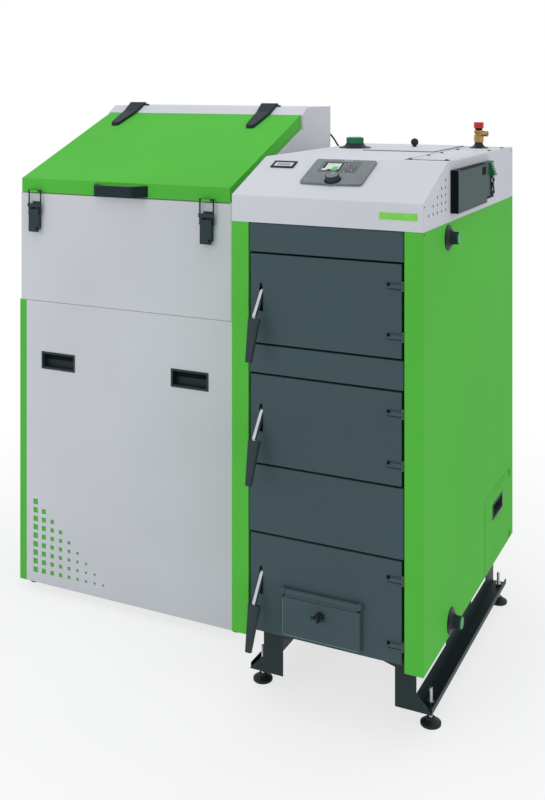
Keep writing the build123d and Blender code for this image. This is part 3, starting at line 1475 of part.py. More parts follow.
def lid_hinge_bases():
    """Plates on the cap with two ears each, and the hinge pin between them."""
    y, z = LID_PIVOT
    top = CAP_TOP[1]
    bases = []
    for middle in HINGE_XS:
        plate_y = (y + KNUCKLE_R + HOLE_GAP, y + HINGE_PLATE)
        base = block(around(middle, HINGE_W), plate_y, (top, top + PLATE_T))
        for side in (-1, 1):
            edges = (middle + side * (KNUCKLE_W / 2 + 0.5), middle + side * HINGE_W / 2)
            across = (min(edges), max(edges))
            base += rod_x(KNUCKLE_R, across, y, z)
            base += block(across, (y - KNUCKLE_R, y + HINGE_PLATE - 4), (top, z))
        base += rod_x(HINGE_PIN_R, around(middle, KNUCKLE_W + 4), y, z)
        bases.append(base)
    return bases


def hinge_arm(middle):
    """Tapered arm with a round tip on the lid, and the knuckle at its other end."""
    y, z = LID_PIVOT
    edge = y - HINGE_BACK
    bend = edge - ARM_RISE
    tip = edge - ARM_L

    def on_lid(at):
        return LID_LOW + LID_H + (at - HOPPER_Y[0]) * LID_RISE / LID_RUN

    profile = [
        (tip, on_lid(tip)),
        (bend, on_lid(bend)),
        (edge, z - KNUCKLE_R + HOLE_GAP),
        (y, z - KNUCKLE_R + HOLE_GAP),
        (y, z + KNUCKLE_R),
        (edge, z + KNUCKLE_R),
        (bend, on_lid(bend) + ARM_T),
        (tip, on_lid(tip) + ARM_T),
    ]
    wide, narrow = ARM_W
    plan = outline([
        (middle - narrow / 2, tip),
        (middle + narrow / 2, tip),
        (middle + wide / 2, edge),
        (middle + KNUCKLE_W / 2, edge),
        (middle + KNUCKLE_W / 2, y),
        (middle - KNUCKLE_W / 2, y),
        (middle - KNUCKLE_W / 2, edge),
        (middle - wide / 2, edge),
    ])
    plan = fillet(plan.vertices().group_by(Axis.Y)[0], ARM_TIP_R)
    arm = along_x(outline(profile), around(middle, wide)) & along_z(plan, (RIM_Z, z + wide))
    arm += rod_x(KNUCKLE_R, around(middle, KNUCKLE_W), y, z)
    return arm - rod_x(HINGE_PIN_R + FIT, around(middle, 2 * KNUCKLE_W), y, z)


def lid_hinge_arms():
    return [hinge_arm(middle) for middle in HINGE_XS]


def latch_bases():
    """Plates on the hopper's front, each with two ears and the lever's pin."""
    y, z = LATCH_PIN
    front = HOPPER_Y[0]
    bases = []
    for middle in LATCH_XS.values():
        plate_z = (z - LATCH_BASE[0], z + LATCH_BASE[1])
        base = block(around(middle, 2 * LATCH_EAR[1]), (front - SHEET, front), plate_z)
        for side in (-1, 1):
            across = sorted((middle + side * LATCH_EAR[0], middle + side * LATCH_EAR[1]))
            base += rod_x(LATCH_EAR_R, across, y, z)
            base += block(across, (y, front), around(z, 2 * LATCH_EAR_R))
        base += rod_x(LATCH_PIN_R, around(middle, 2 * LATCH_HALF), y, z)
        bases.append(base)
    return bases


def latch_lever(name):
    """Toggle lever: a front plate with two cheeks that turn on the base's pin."""
    middle = LATCH_XS[name]
    y, z = LATCH_PIN
    low = z - LATCH_L
    lever = block(around(middle, 2 * LATCH_HALF), (y - 10, y - 7), (low, z + 1))
    shape = [(y - 7.2, low + 2), (y + 1, low + 14), (y + 6, z - 16), (y + 7, z), (y - 7.2, z)]
    for side in (-1, 1):
        across = sorted((middle + side * (LATCH_HALF - CHEEK_T), middle + side * LATCH_HALF))
        lever += along_x(outline(shape), across)
        lever += rod_x(CHEEK_EYE_R, across, y, z)
    through = around(middle, 2 * LATCH_HALF + 2)
    lever -= rod_x(LATCH_PIN_R + FIT, through, y, z)
    lever -= rod_x(WIRE_R + FIT, through, *BAIL_PIN)
    return [lever]


def latch_bail(name):
    """Wire loop from the lever's cheeks up over the lid's catch, with a
    stiffening band."""
    middle = LATCH_XS[name]
    y, z = BAIL_PIN
    top = CATCH_Z + CATCH_T + SEAM + WIRE_R
    span = around(middle, 2 * (WIRE_X + WIRE_R))
    bail = rod_x(WIRE_R, span, y, top)
    for side in (-1, 1):
        x = middle + side * WIRE_X
        bail += rod_z(WIRE_R, x, y, (z - WIRE_R, top + WIRE_R))
        across = sorted((middle + side * (LATCH_HALF - CHEEK_T), x + side * WIRE_R))
        bail += rod_x(WIRE_R, across, y, z)
    bail += block(span, (y - BAND_Y[0], y - BAND_Y[1]), (z + BAND_UP[0], z + BAND_UP[1]))
    return [bail]


# cord from the hopper to the cover


def corner_radii(points):
    """For each corner, the largest radius that its two runs leave room for."""
    radii = []
    for before, corner, after in zip(points, points[1:], points[2:]):
        first = Vector(*corner) - Vector(*before)
        second = Vector(*after) - Vector(*corner)
        turn = math.radians(first.get_angle(second))
        radii.append(0.45 * min(first.length, second.length) / math.tan(turn / 2))
    return radii


def feeder_cable():
    """The cord's plain tube along its route, rounded at each corner."""
    path = FilletPolyline(*CORD_ROUTE, radius=corner_radii(CORD_ROUTE))
    start = Plane(origin=path @ 0, z_dir=path % 0)
    return [sweep(start * Circle(CORD_R), path=path)]


def gland(end, side, wall):
    """Angled gland on a back wall: its neck holds the cord's end."""
    x, y, z = end
    base = x + side * GLAND_NECK
    neck_x = (min(x, base), max(x, base))
    body_x = (min(base, base + side * GLAND_BODY), max(base, base + side * GLAND_BODY))
    body = rod_x(GLAND_R, body_x, y, z) + block(body_x, (wall, y), around(z, 2 * GLAND_R))
    return body + rod_x(GLAND_NECK_R, neck_x, y, z)


def cord_glands():
    hopper = gland(CORD_ROUTE[0], -1, HOPPER_Y[1])
    cover = gland(CORD_ROUTE[-1], 1, BOILER_D)
    return [hopper, cover]


def all_nodes():
    nodes = {
        "side_panel_left": side_panel_left(),
        "side_panel_right": side_panel_right(),
        "rear_panel": rear_panel(),
        "hatch_panel": hatch_panel(),
        "cover_hood": cover_hood(),
        "electronics_box": electronics_box(),
        "control_panel": control_panel(),
        "status_display": status_display(),
        "front_bands": front_bands(),
        "front_frame": front_frame(),
        "water_jacket": water_jacket(),
        "burner_retort": burner_retort(),
        "ash_pan": ash_pan(),
        "flue_collar": flue_collar(),
        "pipe_rosettes": pipe_rosettes() + cord_glands(),
        "pipe_stubs": pipe_stubs(),
        "green_plugs": green_plugs(),
        "safety_valve": safety_valve(),
        "base_frame": base_frame(),
        "feet": feet(),
        "auger_tube": auger_tube(),
        "gear_motor": gear_motor(),
        "blower": blower(),
        "feeder_cable": feeder_cable(),
        "hopper_side_panels": hopper_side_panels(),
        "hopper_upper_walls": hopper_upper_walls(),
        "hopper_front_panel": hopper_front_panel(),
        "recess_grips": recess_grips(),
        "hopper_top_cap": hopper_top_cap(),
        "hopper_base": hopper_base(),
        "bin_funnel": bin_funnel(),
        "lid_hinge_bases": lid_hinge_bases(),
        "latch_bases": latch_bases(),
        "service_lid": service_lid(),
        "service_knob": service_knob(),
        "control_knob": control_knob(),
        "rocker_switch": rocker_switch(),
        "valve_cap": valve_cap(),
        "auger_screw": auger_screw(),
        "hopper_lid": hopper_lid(),
        "lid_handle": lid_handle(),
        "lid_hinge_arms": lid_hinge_arms(),
        "flap_plate": flap_plate(),
        "flap_screw": flap_screw(),
    }
    for name in LATCH_XS:
        nodes["latch_lever_" + name] = latch_lever(name)
        nodes["latch_bail_" + name] = latch_bail(name)
    for name in DOORS:
        nodes["door_" + name + "_skin"] = door_skin(name)
        nodes["door_" + name + "_lining"] = door_lining(name)
        nodes["door_" + name + "_lever"] = door_lever(name)
        nodes["door_" + name + "_grip"] = door_grip(name)
    return nodes


NODES = all_nodes()
CORDS = ("feeder_cable",)


def origin_shift():
    """Move from the drawing corner to the middle of the footprint, without the cord."""
    boxes = [solid.bounding_box() for name in NODES if name not in CORDS for solid in NODES[name]]
    low = Vector(*[min(getattr(box.min, axis) for box in boxes) for axis in "XYZ"])
    high = Vector(*[max(getattr(box.max, axis) for box in boxes) for axis in "XYZ"])
    return Vector(-(low.X + high.X) / 2, -(low.Y + high.Y) / 2, -low.Z)


SHIFT = origin_shift()

os.makedirs("parts", exist_ok=True)
for name, solids in NODES.items():
    placed = [Pos(*SHIFT) * solid for solid in solids]
    export_step(Compound(children=placed), "parts/" + name + ".step")
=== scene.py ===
import math

import bmesh
import bpy
from mathutils import Matrix, Vector


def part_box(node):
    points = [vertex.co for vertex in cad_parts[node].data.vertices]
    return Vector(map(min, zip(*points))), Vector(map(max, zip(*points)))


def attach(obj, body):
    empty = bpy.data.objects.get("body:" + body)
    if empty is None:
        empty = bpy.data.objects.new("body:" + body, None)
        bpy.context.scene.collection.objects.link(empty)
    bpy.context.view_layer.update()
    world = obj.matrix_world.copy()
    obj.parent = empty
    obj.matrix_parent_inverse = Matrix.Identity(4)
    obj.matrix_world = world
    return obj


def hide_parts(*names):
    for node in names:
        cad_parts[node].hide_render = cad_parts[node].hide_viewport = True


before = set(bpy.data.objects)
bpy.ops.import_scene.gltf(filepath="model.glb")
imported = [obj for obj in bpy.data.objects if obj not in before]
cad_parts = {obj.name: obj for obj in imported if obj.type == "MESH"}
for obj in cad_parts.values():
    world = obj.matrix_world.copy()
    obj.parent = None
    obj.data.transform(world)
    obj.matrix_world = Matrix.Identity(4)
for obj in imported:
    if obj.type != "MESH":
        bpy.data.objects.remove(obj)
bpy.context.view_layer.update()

# The viewpoint of the photograph: level, a little over head height, in front of
# the boiler and to its right. Places are in millimetres from the casing's front
# left corner on the floor, and from_corner takes them to the row frame.
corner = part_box("side_panel_left")[0]
corner.z = 0
from_corner = Matrix.Translation(corner) @ Matrix.Scale(0.001, 4)
CAMERA_AT = (1358, -2583, 1684)
CAMERA_TURN = 25.57
CAMERA_LENS = 48.375
CAMERA_SHIFT = -0.3972

camera_data = bpy.data.cameras.new("camera")
camera_data.sensor_width = 36
camera_data.lens = CAMERA_LENS
camera_data.shift_y = CAMERA_SHIFT
camera_data.clip_start = 0.05
camera_data.clip_end = 60
camera = bpy.data.objects.new("camera", camera_data)
camera.location = from_corner @ Vector(CAMERA_AT)
camera.rotation_euler = (math.radians(90), 0, math.radians(CAMERA_TURN))
bpy.context.scene.collection.objects.link(camera)
bpy.context.scene.camera = camera
bpy.context.scene.view_settings.view_transform = "Standard"


# Studio: a pale floor that keeps the shadows near the object and runs out to
# white, a white backdrop that lens, glass and gloss see, and large soft lamps.
def add_node(tree, kind, settings=None, **sockets):
    """A shader node with its settings, and each socket wired or set."""
    node = tree.nodes.new(kind)
    for key, value in (settings or {}).items():
        setattr(node, key, value)
    for key, value in sockets.items():
        name = key.replace("_", " ")
        socket = node.inputs[int(name[1:])] if name[1:].isdigit() else node.inputs[name]
        if isinstance(value, bpy.types.NodeSocket):
            tree.links.new(value, socket)
        else:
            socket.default_value = value
    return node


def arithmetic(tree, operation, first, second):
    """The value of a Math node."""
    return add_node(tree, "ShaderNodeMath", {"operation": operation}, s0=first, s1=second).outputs[0]


world = bpy.data.worlds.new("studio")
world.use_nodes = True
bpy.context.scene.world = world
tree = world.node_tree
tree.nodes.clear()
path = add_node(tree, "ShaderNodeLightPath")
seen = arithmetic(tree, "MAXIMUM", path.outputs["Is Camera Ray"], path.outputs["Is Glossy Ray"])
seen = arithmetic(tree, "MAXIMUM", seen, path.outputs["Is Transmission Ray"])
soft = add_node(tree, "ShaderNodeBackground", Color=(0.96, 0.98, 1, 1), Strength=0.62)
backdrop = add_node(tree, "ShaderNodeBackground", Color=(1, 1, 1, 1), Strength=1.0)
chosen = add_node(tree, "ShaderNodeMixShader", s0=seen, s1=soft.outputs[0], s2=backdrop.outputs[0])
add_node(tree, "ShaderNodeOutputWorld", Surface=chosen.outputs[0])

floor_material = bpy.data.materials.new("studio_floor")
floor_material.use_nodes = True
tree = floor_material.node_tree
tree.nodes.clear()
place = add_node(tree, "ShaderNodeTexCoord").outputs["Object"]
away = add_node(tree, "ShaderNodeVectorMath", {"operation": "LENGTH"}, s0=place).outputs["Value"]
FADE_FROM = 0.8
FADE_TO = 2.2
fade = add_node(tree, "ShaderNodeMapRange", Value=away, From_Min=FADE_FROM, From_Max=FADE_TO, To_Min=0.72)
path = add_node(tree, "ShaderNodeLightPath")
seen = arithmetic(tree, "MAXIMUM", path.outputs["Is Camera Ray"], path.outputs["Is Glossy Ray"])
seen = arithmetic(tree, "MULTIPLY", seen, fade.outputs[0])
ground = add_node(tree, "ShaderNodeBsdfDiffuse", Color=(0.86, 0.86, 0.87, 1))
white = add_node(tree, "ShaderNodeEmission", Color=(1, 1, 1, 1), Strength=1.0)
chosen = add_node(tree, "ShaderNodeMixShader", s0=seen, s1=ground.outputs[0], s2=white.outputs[0])
add_node(tree, "ShaderNodeOutputMaterial", Surface=chosen.outputs[0])

bm = bmesh.new()
bmesh.ops.create_grid(bm, x_segments=1, y_segments=1, size=20)
floor_mesh = bpy.data.meshes.new("studio_floor")
bm.to_mesh(floor_mesh)
bm.free()
floor_mesh.materials.append(floor_material)
studio_floor = bpy.data.objects.new("studio_floor", floor_mesh)
studio_floor.location = (0, 0, -0.0005)
bpy.context.scene.collection.objects.link(studio_floor)

LAMP_AIM = Vector((0, 0, 0.8))
LAMPS = {
    "front": ((-1.6, -5.2, 2.6), 3.2, 52),
    "right": ((5.4, -1.6, 2.2), 3.0, 42),
    "above": ((0.2, -0.4, 5.2), 3.4, 48),
    "left": ((-5.0, 0.6, 2.6), 2.6, 24),
    "back": ((0.6, 5.4, 2.8), 3.0, 34),
}
for name, (spot, size, power) in LAMPS.items():
    lamp_data = bpy.data.lights.new("lamp_" + name, "AREA")
    lamp_data.size = size
    lamp_data.energy = power
    lamp = bpy.data.objects.new("lamp_" + name, lamp_data)
    lamp.location = spot
    lamp.rotation_euler = (LAMP_AIM - Vector(spot)).to_track_quat("-Z", "Y").to_euler()
    lamp.visible_glossy = False
    bpy.context.scene.collection.objects.link(lamp)


# Feeder cable: a black rubber-sheathed cord from an angled gland on the hopper's
# back, which drops across the gap to a second gland on the cover's back. A short
# moulded boot keeps it from kinking where it leaves each gland.
def swatch(red, green, blue):
    """A paint card's 0 to 255 colour as the shader's linear one."""
    parts = [value / 255 for value in (red, green, blue)]
    return (*[((part + 0.055) / 1.055) ** 2.4 for part in parts], 1)


def effect_group(name, grey, roughness, grain):
    """An empty shader effect with the sockets of a skin, and its two end nodes."""
    group = bpy.data.node_groups.new(name, "ShaderNodeTree")
    inputs = {
        "Place": ("Vector", None),
        "Colour": ("Color", (grey, grey, grey, 1)),
        "Roughness": ("Float", roughness),
        "Grain": ("Float", grain),
    }
    for label, (kind, value) in inputs.items():
        socket = group.interface.new_socket(label, in_out="INPUT", socket_type="NodeSocket" + kind)
        if value is not None:
            socket.default_value = value
    for label, kind in (("Colour", "Color"), ("Roughness", "Float"), ("Height", "Float")):
        group.interface.new_socket(label, in_out="OUTPUT", socket_type="NodeSocket" + kind)
    return group, group.nodes.new("NodeGroupInput"), group.nodes.new("NodeGroupOutput")


def tinted(tree, colour, factor):
    """A colour made lighter or darker by a factor near 1."""
    lit = add_node(tree, "ShaderNodeVectorMath", {"operation": "SCALE"}, s0=colour)
    tree.links.new(factor, lit.inputs["Scale"])
    return lit.outputs[0]


NOISE_BAND = (0.3, 0.7)


def spread(tree, noise, low, high):
    """The middle band of a noise, spread over a range."""
    band = add_node(tree, "ShaderNodeMapRange", Value=noise, From_Min=NOISE_BAND[0], From_Max=NOISE_BAND[1])
    band.inputs["To Min"].default_value = low
    band.inputs["To Max"].default_value = high
    return band.outputs[0]


def complete(tree, given, result, tone, rub, height):
    """Lead an effect's tone, change of roughness and relief to its outputs."""
    tree.links.new(tinted(tree, given.outputs["Colour"], tone), result.inputs["Colour"])
    gloss = arithmetic(tree, "ADD", given.outputs["Roughness"], rub)
    tree.links.new(gloss, result.inputs["Roughness"])
    tree.links.new(height, result.inputs["Height"])


# even fine grain of a moulded plastic or rubber skin
moulded_skin, given, result = effect_group("moulded_skin", grey=0.02, roughness=0.5, grain=900.0)
place = given.outputs["Place"]
cells = add_node(moulded_skin, "ShaderNodeTexVoronoi", Vector=place, Scale=given.outputs["Grain"])
handled = add_node(moulded_skin, "ShaderNodeTexNoise", Vector=place, Scale=14.0, Detail=3.0).outputs["Fac"]
tone = spread(moulded_skin, handled, 0.86, 1.14)
rub = spread(moulded_skin, handled, -0.05, 0.05)
complete(moulded_skin, given, result, tone, rub, cells.outputs["Distance"])


def surfaced(name, group, colour, roughness, grain, depth, edge=0.0, **shader):
    """A material whose colour, roughness and relief come from an effect, with
    its edges rounded over by the given radius in millimetres."""
    material = bpy.data.materials.new(name)
    material.use_nodes = True
    tree = material.node_tree
    tree.nodes.clear()
    place = add_node(tree, "ShaderNodeTexCoord").outputs["Object"]
    effect = tree.nodes.new("ShaderNodeGroup")
    effect.node_tree = group
    tree.links.new(place, effect.inputs["Place"])
    effect.inputs["Colour"].default_value = colour
    effect.inputs["Roughness"].default_value = roughness
    effect.inputs["Grain"].default_value = grain
    relief = add_node(
        tree, "ShaderNodeBump", Strength=1.0, Distance=depth / 1000, Height=effect.outputs["Height"]
    )
    if edge:
        rounded = add_node(tree, "ShaderNodeBevel", {"samples": 4}, Radius=edge / 1000)
        tree.links.new(rounded.outputs["Normal"], relief.inputs["Normal"])
    skin = tree.nodes.new("ShaderNodeBsdfPrincipled")
    for key, value in shader.items():
        skin.inputs[key.replace("_", " ")].default_value = value
    tree.links.new(effect.outputs["Colour"], skin.inputs["Base Color"])
    tree.links.new(effect.outputs["Roughness"], skin.inputs["Roughness"])
    tree.links.new(relief.outputs["Normal"], skin.inputs["Normal"])
    add_node(tree, "ShaderNodeOutputMaterial", Surface=skin.outputs[0])
    return material


def dress(material, *nodes):
    """Give CAD nodes their finish, on the object's own slots."""
    for name in nodes:
        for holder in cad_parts[name].material_slots:
            holder.link = "OBJECT"
            holder.material = material


def settle(bm, name, body, slot, *materials, place=from_corner):
    """Finish a mesh as a piece: doubles merged, faces outwards, put in its
    place in the row frame and riding on its body."""
    bmesh.ops.remove_doubles(bm, verts=bm.verts, dist=0.001)
    bmesh.ops.recalc_face_normals(bm, faces=bm.faces)
    bmesh.ops.transform(bm, matrix=place, verts=bm.verts)
    mesh = bpy.data.meshes.new(name)
    bm.to_mesh(mesh)
    bm.free()
    for material in materials:
        mesh.materials.append(material)
    mesh.shade_smooth()
    mesh.set_sharp_from_angle(angle=math.radians(32))
    piece = bpy.data.objects.new(name, mesh)
    bpy.context.scene.collection.objects.link(piece)
    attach(piece, body)
    return piece


def lathe(bm, profile, centre, axis, steps=40, material=0):
    """Turn a profile of (radius, height) points round an axis through centre.
    It begins and ends on the axis, so that the skin is closed."""
    axis = Vector(axis).normalized()
    centre = Vector(centre)
    side = axis.orthogonal().normalized()
    verts = [bm.verts.new(centre + side * radius + axis * height) for radius, height in profile]
    edges = [bm.edges.new(pair) for pair in zip(verts, verts[1:])]
    before = set(bm.faces)
    bmesh.ops.spin(
        bm, geom=verts + edges, cent=centre, axis=axis, dvec=(0, 0, 0),
        angle=math.tau, steps=steps, use_merge=True, use_duplicate=False,
    )
    for face in set(bm.faces) - before:
        face.material_index = material
    bmesh.ops.remove_doubles(bm, verts=bm.verts, dist=0.001)


CORD_ROUTE = [
    (-215, 1074, 1515),
    (-184, 1074, 1515),
    (-158.3, 1075, 1495.3),
    (-143.5, 1074, 1479.5),
    (-132.5, 1073, 1463.3),
    (-122.2, 1072, 1449.3),
    (-100, 1066, 1424),
    (-65, 1050, 1399),
    (-25, 1010, 1384),
    (-2, 990, 1379),
    (16, 980, 1377),
    (40, 980, 1377),
]
CORD_DIAMETER = 0.0065

cord_rubber = surfaced("cord_rubber", moulded_skin, swatch(34, 36, 38), 0.55, 1400, 0.05)
route = bpy.data.curves.new("feeder_cord", "CURVE")
route.dimensions = "3D"
route.bevel_depth = CORD_DIAMETER / 2
route.bevel_resolution = 5
route.resolution_u = 12
route.use_fill_caps = True
route.materials.append(cord_rubber)
spline = route.splines.new("NURBS")
spline.points.add(len(CORD_ROUTE) - 1)
for point, spot in zip(spline.points, CORD_ROUTE):
    point.co = (*(from_corner @ Vector(spot)), 1)
spline.order_u = 3
spline.use_endpoint_u = True
feeder_cord = bpy.data.objects.new("feeder_cord", route)
bpy.context.scene.collection.objects.link(feeder_cord)
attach(feeder_cord, "boiler")
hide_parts("feeder_cable")

BOOT = [(0, -1), (5.6, -1), (5.8, 2), (4.9, 6), (5.3, 8), (4.5, 12), (4.9, 14), (4.2, 18), (4.5, 20)]
BOOT += [(3.9, 24), (0, 24)]
for name, spot, way in (("hopper", CORD_ROUTE[0], 1), ("cover", CORD_ROUTE[-1], -1)):
    bm = bmesh.new()
    lathe(bm, BOOT, spot, (way, 0, 0))
    settle(bm, "cord_boot_" + name, "boiler", "cord_rubber", cord_rubber)


# Base frame: folded and welded 3 mm plates in black stove paint. It carries the
# boiler's jacket on its deck and stands on four levelling feet.
sprayed_coat, given, result = effect_group("sprayed_coat", grey=0.5, roughness=0.4, grain=420.0)
place, grain = given.outputs["Place"], given.outputs["Grain"]
peel = add_node(sprayed_coat, "ShaderNodeTexNoise", Vector=place, Scale=grain, Detail=2.0).outputs["Fac"]
drift = add_node(sprayed_coat, "ShaderNodeTexNoise", Vector=place, Scale=2.2, Detail=2.0).outputs["Fac"]
tone = spread(sprayed_coat, drift, 0.965, 1.035)
sheen = spread(sprayed_coat, peel, -0.04, 0.04)
complete(sprayed_coat, given, result, tone, sheen, peel)

black_coat = surfaced(
    "black_coat", sprayed_coat, swatch(26, 42, 44), 0.5, 500, 0.06, edge=1.0, Specular_IOR_Level=0.3
)
dress(black_coat, "base_frame")


# Levelling feet: a moulded pad with a ribbed rim on a galvanised threaded stud,
# locked by a nut on each side of the plate that it passes through.
drawn_metal, given, result = effect_group("drawn_metal", grey=0.6, roughness=0.3, grain=260.0)
place, grain = given.outputs["Place"], given.outputs["Grain"]
lines = add_node(drawn_metal, "ShaderNodeTexNoise", Vector=place, Scale=grain, Detail=4.0, Roughness=0.7)
lines = lines.outputs["Fac"]
clouds = add_node(drawn_metal, "ShaderNodeTexNoise", Vector=place, Scale=30.0, Detail=3.0).outputs["Fac"]
tone = spread(drawn_metal, clouds, 0.93, 1.05)
wiped = spread(drawn_metal, lines, -0.08, 0.1)
complete(drawn_metal, given, result, tone, wiped, lines)

black_plastic = surfaced(
    "black_plastic", moulded_skin, swatch(22, 32, 34), 0.5, 1100, 0.04, edge=0.6, Specular_IOR_Level=0.3
)
zinc = surfaced("zinc_plate", drawn_metal, swatch(196, 200, 202), 0.32, 700, 0.02, Metallic=1.0)


THREAD_R = 4.9
THREAD_CORE = 4.2
THREAD_PITCH = 2.5
NUT_R = 9.2
NUT_H = 8


def levelling_foot(name, x, y, pad_r, pad_h, seat, stud_top):
    """Pad, threaded stud and the two nuts of one foot."""
    bm = bmesh.new()
    pad = [(0, 0), (pad_r - 1, 0), (pad_r, 1), (pad_r, pad_h * 0.34), (pad_r - 2, pad_h * 0.42)]
    pad += [(13, pad_h * 0.8), (11, pad_h), (0, pad_h)]
    lathe(bm, pad, (x, y, 0), (0, 0, 1), steps=48)
    thread = [(0, pad_h - 1), (THREAD_R, pad_h - 1)]
    turns = int((stud_top - pad_h) / THREAD_PITCH)
    for turn in range(turns):
        foot = pad_h + THREAD_PITCH * turn
        thread += [(THREAD_R, foot), (THREAD_CORE, foot + THREAD_PITCH / 2)]
    thread += [(THREAD_R, stud_top - 1), (THREAD_CORE, stud_top), (0, stud_top)]
    lathe(bm, thread, (x, y, 0), (0, 0, 1), steps=20, material=1)
    for low in (seat - NUT_H, seat + 3):
        made = bmesh.ops.create_cone(
            bm, cap_ends=True, segments=6, radius1=NUT_R, radius2=NUT_R, depth=NUT_H,
            matrix=Matrix.Translation((x, y, low + NUT_H / 2)),
        )
        rims = {edge for vert in made["verts"] for edge in vert.link_edges}
        cut = bmesh.ops.bevel(
            bm, geom=list(rims), offset=0.8, segments=2, affect="EDGES", profile=0.5, material=-1
        )
        for face in {face for vert in cut["verts"] for face in vert.link_faces}:
            face.material_index = 1
        for face in {face for vert in made["verts"] if vert.is_valid for face in vert.link_faces}:
            face.material_index = 1
    return settle(bm, name, "boiler", "zinc_steel", black_plastic, zinc)


for side, x in (("left", 25), ("right", 515)):
    for end, y in (("front", 141), ("rear", 874)):
        name = f"foot_{side}_{end}"
        levelling_foot(name, x, y, pad_r=27.5, pad_h=20, seat=50, stud_top=97)
for side, x in (("left", -934), ("right", -166)):
    for end, y in (("front", 352), ("rear", 998)):
        name = f"hopper_foot_{side}_{end}"
        levelling_foot(name, x, y, pad_r=17, pad_h=10, seat=30, stud_top=59)
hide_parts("feet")


# Water jacket: welded mild steel plates with the skin that the mill leaves, in
# which the three chambers lie. The ash pan is bent from the same plate, and the
# retort under the fire pot is cast iron.
rough_iron, given, result = effect_group("rough_iron", grey=0.1, roughness=0.7, grain=90.0)
place, grain = given.outputs["Place"], given.outputs["Grain"]
pits = add_node(rough_iron, "ShaderNodeTexNoise", Vector=place, Scale=grain, Detail=6.0, Roughness=0.65)
pits = pits.outputs["Fac"]
stain = add_node(rough_iron, "ShaderNodeTexNoise", Vector=place, Scale=6.0, Detail=5.0).outputs["Fac"]
tone = spread(rough_iron, stain, 0.65, 1.3)
dull = spread(rough_iron, pits, -0.15, 0.12)
complete(rough_iron, given, result, tone, dull, pits)

mill_steel = surfaced("mill_steel", rough_iron, swatch(92, 94, 98), 0.55, 60, 0.15, Metallic=0.6)
cast_iron = surfaced("cast_iron", rough_iron, swatch(64, 65, 68), 0.7, 140, 0.4, Metallic=0.3)
dress(mill_steel, "water_jacket", "ash_pan", "front_frame", "auger_screw")
dress(cast_iron, "burner_retort")
dress(black_coat, "flue_collar")


# Doors: steel trays in the slate coat of the front, each with a lever on a pin,
# filled with pressed fibre board and sealed by a fibre rope. The bands between
# them are trays of the same sheet, screwed to the front frame.
slate_coat = surfaced(
    "slate_coat", sprayed_coat, swatch(67, 85, 89), 0.6, 650, 0.07, edge=1.2, Specular_IOR_Level=0.15
)
dress(slate_coat, "front_bands", "door_top_skin", "door_mid_skin", "door_bottom_skin", "flap_plate")

fibre_board = surfaced("fibre_board", rough_iron, swatch(196, 190, 176), 0.9, 300, 0.3)
dress(fibre_board, "door_top_lining", "door_mid_lining", "door_bottom_lining")

lever_steel = surfaced(
    "lever_steel", drawn_metal, swatch(196, 202, 206), 0.26, 500, 0.02, edge=0.6, Metallic=1.0
)
grip_plastic = surfaced(
    "grip_plastic", moulded_skin, swatch(40, 52, 55), 0.6, 900, 0.05, edge=2.5, Specular_IOR_Level=0.35
)
dress(lever_steel, "door_top_lever", "door_mid_lever", "door_bottom_lever")
dress(grip_plastic, "door_top_grip", "door_mid_grip", "door_bottom_grip")


# Door hinges: a strap folded from the tray's edge and held by one dark cap screw. Black strips
# above and below it, and above the lever's slot, are painted shade in the gaps and the slot's top.
def slab(bm, x, y, z, edge=0.0, material=0):
    """A block between two limits each way, with its edges rounded off."""
    before = set(bm.faces)
    middle = Vector([(low + high) / 2 for low, high in (x, y, z)])
    size = [abs(high - low) for low, high in (x, y, z)]
    made = bmesh.ops.create_cube(
        bm, size=1, matrix=Matrix.Translation(middle) @ Matrix.Diagonal((*size, 1))
    )
    if edge:
        rims = {rim for vert in made["verts"] for rim in vert.link_edges}
        bmesh.ops.bevel(
            bm, geom=list(rims), offset=edge, segments=2, affect="EDGES", profile=0.5, material=-1
        )
    for face in set(bm.faces) - before:
        face.material_index = material


def cap_screw(bm, place, axis, radius, height, material=0, steps=18):
    """A domed screw head with a round socket in its top."""
    head = [(0, 0), (radius, 0), (radius, height * 0.45), (radius * 0.86, height * 0.85)]
    head += [(radius * 0.6, height), (radius * 0.42, height), (radius * 0.36, height * 0.4)]
    head += [(0, height * 0.4)]
    lathe(bm, head, place, axis, steps=steps, material=material)


# One black for the screws, seals, rings, switch and sockets, and for the strips, sheets and discs that are
# painted shade in gaps, recesses and openings.
black_parts_and_painted_shade = surfaced("black_parts_and_painted_shade", moulded_skin, swatch(9, 16, 17), 0.7, 900, 0.03, Specular_IOR_Level=0.1)
SHADE_LINE_X = (444.6, 482)
SHADE_LINE_OUT = -1.25
CATCH_X = (443.6, 452.4)
CATCH_OUT = -1.4
HINGE_SCREW_X = 448
SLOT_X = (83, 91)
for door, low, height, strap_in, slot_top in (
    ("bottom", 214, 260, 47, 379), ("mid", 664, 236, 53, 814), ("top", 986, 238, 55, 1137),
):
    high = low + height
    bm = bmesh.new()
    for middle in (low + strap_in, high - strap_in):
        # black strips above and below each strap: painted shade in the gaps round it
        slab(bm, SHADE_LINE_X, (SHADE_LINE_OUT, 1), (middle + 4.6, middle + 5.5))
        slab(bm, SHADE_LINE_X, (SHADE_LINE_OUT, 2), (middle - 8, middle - 6.6))
        slab(bm, CATCH_X, (CATCH_OUT, 1), (middle - 0.6, middle + 7.4), edge=0.4)
        cap_screw(bm, (HINGE_SCREW_X, -1.3, middle + 3.4), (0, -1, 0), 3.2, 1.2)
    # black strip over the lever's slot: painted shade in the slot's top
    slab(bm, SLOT_X, (1.7, 2.1), (slot_top, slot_top + 9))
    settle(bm, f"hinge_trim_{door}", f"door_{door}", "black_plastic", black_parts_and_painted_shade)
